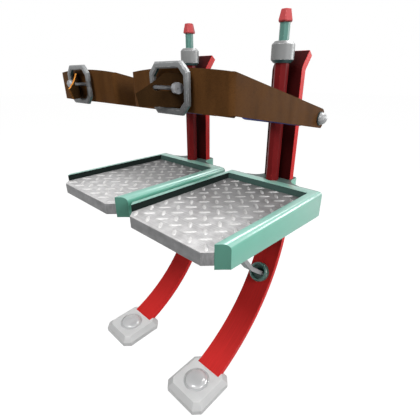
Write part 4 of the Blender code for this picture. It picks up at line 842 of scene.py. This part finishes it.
def cutHoles(piece, cutters):
    # takes holes out of a finished piece and leaves no modifier on it
    tools = []
    for index, bm in enumerate(cutters):
        mesh = bpy.data.meshes.new("cutter")
        bm.to_mesh(mesh)
        bm.free()
        tool = bpy.data.objects.new("cutter", mesh)
        bpy.context.collection.objects.link(tool)
        modifier = piece.modifiers.new(f"hole{index}", "BOOLEAN")
        modifier.operation = "DIFFERENCE"
        modifier.solver = "EXACT"
        modifier.object = tool
        tools.append(tool)
    bpy.context.view_layer.update()
    graph = bpy.context.evaluated_depsgraph_get()
    finished = bpy.data.meshes.new_from_object(piece.evaluated_get(graph), depsgraph=graph)
    piece.modifiers.clear()
    piece.data = finished
    for tool in tools:
        bpy.data.objects.remove(tool)


def thickSheet(bm, thickness, inward):
    # gives a sheet its thickness and marks the cut edge
    bm.faces.layers.float.new("rim")
    fronts = set(bm.faces)
    grown = bmesh.ops.extrude_face_region(bm, geom=list(fronts), use_keep_orig=True)
    backs = {item for item in grown["geom"] if isinstance(item, bmesh.types.BMFace)}
    for item in grown["geom"]:
        if isinstance(item, bmesh.types.BMVert):
            item.co += inward(item.co) * thickness
    markRim(bm, [face for face in bm.faces if face not in backs and face not in fronts])


cutEdgeAngle = 50         # degrees over which a cut edge is eased
cutEdgeSegments = 2


def easeCutEdges(piece, width):
    ease = piece.modifiers.new("cutEdges", "BEVEL")
    ease.width = width
    ease.segments = cutEdgeSegments
    ease.limit_method = "ANGLE"
    ease.angle_limit = math.radians(cutEdgeAngle)


bandSettings = {
    "halfWidth": 0.102, "thickness": 0.004, "frontY": -0.1035, "cornerY": -0.1005, "cornerRadius": 0.008,
    "rearY": 0.1555, "trim": 0.004, "frontLow": 0.178, "frontHigh": 0.2275, "crown": 0.005,
    "crownHalfWidth": 0.098, "rearLow": 0.135, "rearHigh": 0.1685, "taperStart": -0.0965,
    "holeY": 0.145, "holeZ": 0.153, "holeRadius": 0.0043, "holeSegments": 32, "cutterLength": 0.03,
    "frontSteps": 40, "cornerSteps": 8, "sideSteps": 48, "rows": 8, "ease": 0.0009, "sharp": 45,
}


def bandPlan(settings):
    # the band's outer line in plan, from the middle of the front to one end
    radius = settings["cornerRadius"]
    bendX = settings["halfWidth"] - radius
    points = []
    for step in range(settings["frontSteps"] + 1):
        share = step / settings["frontSteps"]
        setBack = share ** 2 * (settings["cornerY"] - settings["frontY"])
        points.append(Vector((share * bendX, settings["frontY"] + setBack)))
    centre = Vector((bendX, settings["cornerY"] + radius))
    for step in range(1, settings["cornerSteps"] + 1):
        angle = -math.pi / 2 + math.pi / 2 * step / settings["cornerSteps"]
        points.append(centre + radius * Vector((math.cos(angle), math.sin(angle))))
    last = settings["rearY"] + settings["trim"]
    for step in range(1, settings["sideSteps"] + 1):
        y = centre.y + (last - centre.y) * step / settings["sideSteps"]
        points.append(Vector((settings["halfWidth"], y)))
    return points


def bandHeights(settings, y):
    span = settings["rearY"] - settings["taperStart"]
    share = min(max((y - settings["taperStart"]) / span, 0), 1)
    low = settings["frontLow"] + share * (settings["rearLow"] - settings["frontLow"])
    high = settings["frontHigh"] + share * (settings["rearHigh"] - settings["frontHigh"])
    past = max(y - settings["rearY"], 0)
    drawIn = settings["trim"] - math.sqrt(max(settings["trim"] ** 2 - past ** 2, 0))
    return low + drawIn, high - drawIn


def addStrapBand(sideName, settings):
    half = bandPlan(settings)
    plan = [Vector((-p.x, p.y)) for p in reversed(half[1:])] + half
    bm = bmesh.new()
    bmesh.ops.create_grid(bm, x_segments=len(plan) - 1, y_segments=settings["rows"], size=0.5)
    count = len(plan) - 1
    for vert in bm.verts:
        index = round((vert.co.x + 0.5) * count)
        rise = vert.co.y + 0.5
        low, high = bandHeights(settings, plan[index].y)
        high += settings["crown"] * max(1 - (plan[index].x / settings["crownHalfWidth"]) ** 2, 0)
        vert.co = Vector((plan[index].x, plan[index].y, low + rise * (high - low)))
    inner = settings["halfWidth"] - settings["cornerRadius"]
    innerY = settings["cornerY"] + settings["cornerRadius"]

    def inward(point):
        if point.y >= innerY:
            return Vector((-math.copysign(1, point.x), 0, 0))
        if abs(point.x) <= inner:
            return Vector((0, 1, 0))
        centre = Vector((math.copysign(inner, point.x), innerY, point.z))
        return (centre - point).normalized()

    thickSheet(bm, settings["thickness"], inward)
    placeOnStilt(bm, sides[sideName])
    piece = addPiece(f"{sideName}StrapBand", bm, [strapLeather], f"{sideName}_strap",
                     [f"{sideName}_strap_band"], settings["sharp"])
    cutters = []
    for x in (-settings["halfWidth"], settings["halfWidth"]):
        tool = bmesh.new()
        place = Matrix.Translation((x, settings["holeY"], settings["holeZ"]))
        bmesh.ops.create_cone(tool, cap_ends=True, segments=settings["holeSegments"],
                              radius1=settings["holeRadius"], radius2=settings["holeRadius"],
                              depth=settings["cutterLength"],
                              matrix=place @ Matrix.Rotation(math.pi / 2, 4, "Y"))
        placeOnStilt(tool, sides[sideName])
        cutters.append(tool)
    cutHoles(piece, cutters)
    easeCutEdges(piece, settings["ease"])


endSettings = {
    "rootX": 0.035, "bendX": 0.022, "tipX": -0.026, "shoulderX": 0.001, "reach": 0.040, "twist": 0.005,
    "lift": 0.35, "rootY": -0.1038, "thickness": 0.003, "low": 0.1838, "high": 0.226, "tipHigh": 0.201,
    "slotFrom": -0.01295, "slotTo": 0.01255, "slotZ": 0.208, "slotHalf": 0.0038, "slotSegments": 24,
    "cutterLength": 0.07, "cutterSetOut": 0.02, "columns": 60, "rows": 10, "ease": 0.0007,
    "dullShare": 0.15, "sharp": 45,
}


def addStrapEnd(sideName, settings):
    columns, rows = settings["columns"], settings["rows"]
    bm = bmesh.new()
    bmesh.ops.create_grid(bm, x_segments=columns, y_segments=rows, size=0.5)

    def reachAt(x):
        share = min(max((settings["bendX"] - x) / (settings["bendX"] - settings["tipX"]), 0), 1)
        return settings["reach"] * share * (settings["lift"] + (1 - settings["lift"]) * share)

    for vert in bm.verts:
        x = settings["rootX"] + (vert.co.x + 0.5) * (settings["tipX"] - settings["rootX"])
        rise = vert.co.y + 0.5
        tip = max((settings["shoulderX"] - x) / (settings["shoulderX"] - settings["tipX"]), 0)
        high = settings["high"] + (settings["tipHigh"] - settings["high"]) * tip
        y = settings["rootY"] - reachAt(x) + settings["twist"] * tip * (1 - rise)
        vert.co = Vector((x, y, settings["low"] + rise * (high - settings["low"])))
    thickSheet(bm, settings["thickness"], lambda point: Vector((0, -1, 0)))
    layer = bm.faces.layers.float["rim"]
    for face in bm.faces:       # only the tip and the upper edge show the pale cut
        middle = face.calc_center_median()
        if middle.x > settings["shoulderX"] or middle.z < settings["tipHigh"]:
            face[layer] *= settings["dullShare"]
    placeOnStilt(bm, sides[sideName])
    piece = addPiece(f"{sideName}StrapEnd", bm, [endLeatherPaintedShade], f"{sideName}_strap",
                     [f"{sideName}_strap_end"], settings["sharp"])
    tool = bmesh.new()
    half = settings["slotHalf"]
    for x in (settings["slotFrom"] + half, settings["slotTo"] - half):
        place = Matrix.Translation((x, settings["rootY"] - settings["cutterSetOut"], settings["slotZ"]))
        bmesh.ops.create_cone(tool, cap_ends=True, segments=settings["slotSegments"], radius1=half,
                              radius2=half, depth=settings["cutterLength"],
                              matrix=place @ Matrix.Rotation(math.pi / 2, 4, "X"))
    hull = bmesh.ops.convex_hull(tool, input=tool.verts)
    kept = set(hull["geom"])
    bmesh.ops.delete(tool, geom=[face for face in tool.faces if face not in kept], context="FACES")
    placeOnStilt(tool, sides[sideName])
    cutHoles(piece, [tool])
    easeCutEdges(piece, settings["ease"])


for sideName in sides:
    addStrapBand(sideName, bandSettings)
    addStrapEnd(sideName, endSettings)
print("straps laid")


# strap bolts and foot studs

boltSettings = {
    "face": 0.1023, "flange": 0.012, "flangeDeep": 0.002, "edge": 0.0004, "lip": 0.0005,
    "dome": 0.0105, "domeHigh": 0.0105, "domeSteps": 8, "shank": 0.004, "tail": 0.0065,
    "tailIn": 0.0932, "tailOut": 0.0892, "y": 0.145, "z": 0.153, "steps": 32, "washerMargin": 0.0001,
    "sharp": 40,
}


def domeOutline(radius, height, steps):
    # a quarter of an ellipse, from its rim to its top, as reach from the axis and rise
    return [(radius * math.cos(math.pi / 2 * step / steps) if step < steps else 0,
             height * math.sin(math.pi / 2 * step / steps)) for step in range(steps + 1)]


def spunProfile(bm, profile, axis, centre, steps):
    verts = [bm.verts.new(point) for point in profile]
    edges = [bm.edges.new(pair) for pair in zip(verts, verts[1:])]
    bmesh.ops.spin(bm, geom=verts + edges, cent=centre, axis=axis, dvec=(0, 0, 0), angle=math.tau,
                   steps=steps, use_merge=True, use_duplicate=False)
    bmesh.ops.remove_doubles(bm, verts=bm.verts, dist=weldReach)


def addBolt(sideName, place, settings):
    sign = 1 if place == "outer" else -1
    y, z, seat = settings["y"], settings["z"], settings["face"]
    flange, edge, margin = settings["flange"], settings["edge"], settings["washerMargin"]
    front = seat + settings["flangeDeep"]
    outline = [(settings["tailOut"], 0), (settings["tailOut"], settings["tail"]),
               (settings["tailIn"], settings["tail"]), (settings["tailIn"], settings["shank"]),
               (seat, settings["shank"]), (seat, flange - edge), (seat + edge, flange),
               (front - edge, flange), (front, flange - settings["lip"])]
    outline += [(front + rise, reach) for reach, rise in
                domeOutline(settings["dome"], settings["domeHigh"], settings["domeSteps"])]
    bm = bmesh.new()
    spunProfile(bm, [(sign * x, y, z + r) for x, r in outline], (1, 0, 0), (0, y, z), settings["steps"])
    for face in bm.faces:
        reach = abs(face.calc_center_median().x) - seat
        face.material_index = int(-margin < reach < settings["flangeDeep"] + margin)
    placeOnStilt(bm, sides[sideName])
    addPiece(f"{sideName}StrapBolt{place.title()}", bm, [paints["paleCastAlloy"], paints["boltBasePaintedShade"]],
             "frames", [f"{sideName}_strap_bolt_{place}"], settings["sharp"])


studSettings = {
    "radius": 0.0285, "seat": 0.003, "domeIn": 0.0035, "domeHigh": 0.0087, "domeSteps": 12, "steps": 56,
    "sharp": 50,
    "rim": ((0, -0.0002), (0.0005, 0.0003), (0.0014, 0.0003), (0.0021, -0.0012), (0.0029, -0.0012)),
}   # the rim and its groove, as steps in from the edge and up from the block's face


def addStud(sideName, settings):
    low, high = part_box("left_foot_stud")
    centre = (low + high) / 2 - Vector((halfPitch, 0, 0))
    base = low.z + settings["seat"]
    radius = settings["radius"]
    outline = [(0, low.z), (radius, low.z)]
    outline += [(radius - inset, base + rise) for inset, rise in settings["rim"]]
    outline += [(reach, base + rise) for reach, rise in
                domeOutline(radius - settings["domeIn"], settings["domeHigh"], settings["domeSteps"])]
    bm = bmesh.new()
    spunProfile(bm, [(centre.x + r, centre.y, z) for r, z in outline], (0, 0, 1),
                (centre.x, centre.y, 0), settings["steps"])
    placeOnStilt(bm, sides[sideName])
    addPiece(f"{sideName}FootStud", bm, [paints["glossyStud"]], f"{sideName}_leaf",
             [f"{sideName}_foot_stud"], settings["sharp"])


for sideName in sides:
    for place in ("inner", "outer"):
        addBolt(sideName, place, boltSettings)
    addStud(sideName, studSettings)
print("bolts and studs turned")


# calf pad: a cover blown up by cloth pressure, flat on the yoke, with a piping round its rim

padSettings = {
    "halfWidth": 0.071, "low": 0.1372, "high": 0.1675, "back": 0.1532, "front": 0.1395, "round": 0.005,
    "roundSteps": 3, "voxel": 0.0032, "pressure": 4.0, "frames": 20, "cap": 0.0042, "lowest": 0.1362,
    "highest": 0.1688, "piping": 0.0013, "pipingY": 0.1480, "pipingRadius": 0.008, "pipingSteps": 6,
    "sharp": 180,
}


def evaluatedMesh(piece):
    graph = bpy.context.evaluated_depsgraph_get()
    return bpy.data.meshes.new_from_object(piece.evaluated_get(graph), depsgraph=graph)


def blowUp(pad, settings):
    # cloth pressure fills the cover, and each point's move and reach are limited
    start = [vert.co.copy() for vert in pad.data.vertices]
    cloth = pad.modifiers.new("cover", "CLOTH")
    cloth.settings.use_pressure = True
    cloth.settings.uniform_pressure_force = settings["pressure"]
    cloth.settings.effector_weights.gravity = 0
    scene = bpy.context.scene
    for step in range(1, settings["frames"] + 1):
        scene.frame_set(step)
    blown = evaluatedMesh(pad)
    pad.modifiers.clear()
    for vert, before in zip(blown.vertices, start):
        move = vert.co - before
        if move.length > settings["cap"]:
            move = move.normalized() * settings["cap"]
        vert.co = before + move
        vert.co.y = min(vert.co.y, settings["back"])
        vert.co.z = min(max(vert.co.z, settings["lowest"]), settings["highest"])
    pad.data = blown
    scene.frame_set(1)


def addCalfPad(sideName, settings):
    low, high = settings["low"], settings["high"]
    bm = bmesh.new()
    size = Vector((settings["halfWidth"] * 2, settings["back"] - settings["front"], high - low))
    middle = Vector((0, (settings["back"] + settings["front"]) / 2, (low + high) / 2))
    bmesh.ops.create_cube(bm, size=1, matrix=Matrix.Translation(middle) @ Matrix.Diagonal((*size, 1)))
    bmesh.ops.bevel(bm, geom=list(bm.edges), offset=settings["round"], segments=settings["roundSteps"],
                    profile=0.5, affect="EDGES", material=-1)
    placeOnStilt(bm, sides[sideName])
    pad = addPiece(f"{sideName}CalfPad", bm, [padCover], "frames", [f"{sideName}_calf_pad"],
                   settings["sharp"])
    remesh = pad.modifiers.new("evenMesh", "REMESH")
    remesh.mode = "VOXEL"
    remesh.voxel_size = settings["voxel"]
    bpy.context.view_layer.update()
    even = evaluatedMesh(pad)
    pad.modifiers.clear()
    pad.data = even
    blowUp(pad, settings)
    pad.data.shade_smooth()
    smoother = pad.modifiers.new("round", "SUBSURF")
    smoother.levels = 1
    smoother.render_levels = 1


def addPiping(sideName, settings):
    # a thin cord sewn into the cover's rim, rounded at its four corners
    path = bpy.data.curves.new(f"{sideName}PadPiping", "CURVE")
    path.dimensions = "3D"
    path.bevel_depth = settings["piping"]
    path.bevel_resolution = 3
    spline = path.splines.new("POLY")
    radius, steps = settings["pipingRadius"], settings["pipingSteps"]
    middle = (settings["low"] + settings["high"]) / 2
    halfHeight = (settings["high"] - settings["low"]) / 2
    points = []
    for cornerX, cornerZ, start in ((1, 1, 0), (-1, 1, 90), (-1, -1, 180), (1, -1, 270)):
        for step in range(steps + 1):
            angle = math.radians(start + 90 * step / steps)
            x = cornerX * (settings["halfWidth"] - radius) + radius * math.cos(angle)
            z = middle + cornerZ * (halfHeight - radius) + radius * math.sin(angle)
            points.append((sides[sideName] * (x + halfPitch), settings["pipingY"], z, 1))
    spline.points.add(len(points) - 1)
    for point, place in zip(spline.points, points):
        point.co = place
    spline.use_cyclic_u = True
    path.materials.append(padPiping)
    piping = bpy.data.objects.new(f"{sideName}PadPiping", path)
    bpy.context.collection.objects.link(piping)
    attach(piping, "frames")


for sideName in sides:
    addCalfPad(sideName, padSettings)
    addPiping(sideName, padSettings)
print("calf pads filled")


# floor, world and lamps

floorSettings = {"height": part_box("left_foot_block")[0].z, "gap": 0.0002, "halfWidth": 12,
                 "bounce": 0.45, "pale": 0.9, "glow": 1.2, "glowShare": 0.8}
worldLight = 0.18


def seenDirectly(tree):
    # 1 where the camera, a reflection or a clear piece looks straight at the surface
    path = addNode(tree, "ShaderNodeLightPath")
    total = path.outputs["Is Camera Ray"]
    for ray in ("Is Glossy Ray", "Is Transmission Ray"):
        either = addNode(tree, "ShaderNodeMath", operation="MAXIMUM")
        tree.links.new(total, either.inputs[0])
        tree.links.new(path.outputs[ray], either.inputs[1])
        total = either.outputs[0]
    return total


def addFloor(settings):
    # white to the camera and to reflections, duller to the light that it bounces on the object
    bm = bmesh.new()
    level = settings["height"] - settings["gap"]
    bmesh.ops.create_grid(bm, x_segments=1, y_segments=1, size=settings["halfWidth"],
                          matrix=Matrix.Translation((0, 0, level)))
    mesh = bpy.data.meshes.new("floor")
    bm.to_mesh(mesh)
    bm.free()
    floor = bpy.data.objects.new("floor", mesh)
    bpy.context.collection.objects.link(floor)
    material = bpy.data.materials.new("paleFloor")
    material.use_nodes = True
    tree = material.node_tree
    tree.nodes.remove(tree.nodes["Principled BSDF"])
    out = tree.nodes["Material Output"]
    matt = addNode(tree, "ShaderNodeBsdfDiffuse")
    pale = addNode(tree, "ShaderNodeMapRange")
    pale.inputs["To Min"].default_value = settings["bounce"]
    pale.inputs["To Max"].default_value = settings["pale"]
    tree.links.new(seenDirectly(tree), pale.inputs["Value"])
    tree.links.new(pale.outputs[0], matt.inputs["Color"])
    glow = addNode(tree, "ShaderNodeEmission")
    glow.inputs["Strength"].default_value = settings["glow"]
    mix = addNode(tree, "ShaderNodeMixShader")
    share = addNode(tree, "ShaderNodeMath", operation="MULTIPLY")
    share.inputs[1].default_value = settings["glowShare"]
    tree.links.new(seenDirectly(tree), share.inputs[0])
    tree.links.new(share.outputs[0], mix.inputs["Fac"])
    tree.links.new(matt.outputs[0], mix.inputs[1])
    tree.links.new(glow.outputs[0], mix.inputs[2])
    tree.links.new(mix.outputs[0], out.inputs["Surface"])
    mesh.materials.append(material)


def setWorld(strength):
    world = bpy.data.worlds.new("studio")
    bpy.context.scene.world = world
    world.use_nodes = True
    tree = world.node_tree
    back = tree.nodes["Background"]
    back.inputs["Color"].default_value = (1, 1, 1, 1)
    level = addNode(tree, "ShaderNodeMapRange")
    level.inputs["To Min"].default_value = strength
    level.inputs["To Max"].default_value = 1.0
    tree.links.new(seenDirectly(tree), level.inputs["Value"])
    tree.links.new(level.outputs[0], back.inputs["Strength"])


lampSettings = {
    "key": {"place": (2.3, 0.0, 1.0), "aim": (0, 0, 0), "size": (0.9, 0.9), "along": (0, 1, 0),
            "power": 30, "lights": True},
    "top": {"place": (0.2, -1.4, 2.1), "aim": (0, 0, 0), "size": (1.0, 1.0), "along": (1, 0, 0),
            "power": 36, "lights": True},
    "crestNear": {"place": (1.6, 2.0, 0.6), "aim": (0.12, 0, 0), "size": (1.3, 0.4),
                  "along": (-0.237, 0.2, -0.098), "power": 40, "lights": False},
    "crestFar": {"place": (0.35, 1.56, 2.05), "aim": (-0.01, 0, 0), "size": (1.3, 0.45),
                 "along": (-0.031, 0.277, -0.196), "power": 75, "lights": False},
}


def addLamp(name, settings):
    lamp = bpy.data.lights.new(name, "AREA")
    lamp.shape = "RECTANGLE"
    lamp.size, lamp.size_y = settings["size"]
    lamp.energy = settings["power"]
    holder = bpy.data.objects.new(name, lamp)
    holder.location = settings["place"]
    holder.visible_diffuse = settings["lights"]     # the crest lamps only show as streaks on gloss
    back = (Vector(settings["place"]) - Vector(settings["aim"])).normalized()
    along = Vector(settings["along"])
    along = (along - back * along.dot(back)).normalized()
    holder.rotation_euler = Matrix((along, back.cross(along), back)).transposed().to_euler()
    bpy.context.collection.objects.link(holder)


addFloor(floorSettings)
setWorld(worldLight)
for name, settings in lampSettings.items():
    addLamp(name, settings)
bpy.context.scene.view_settings.view_transform = "Standard"
print("stage set")
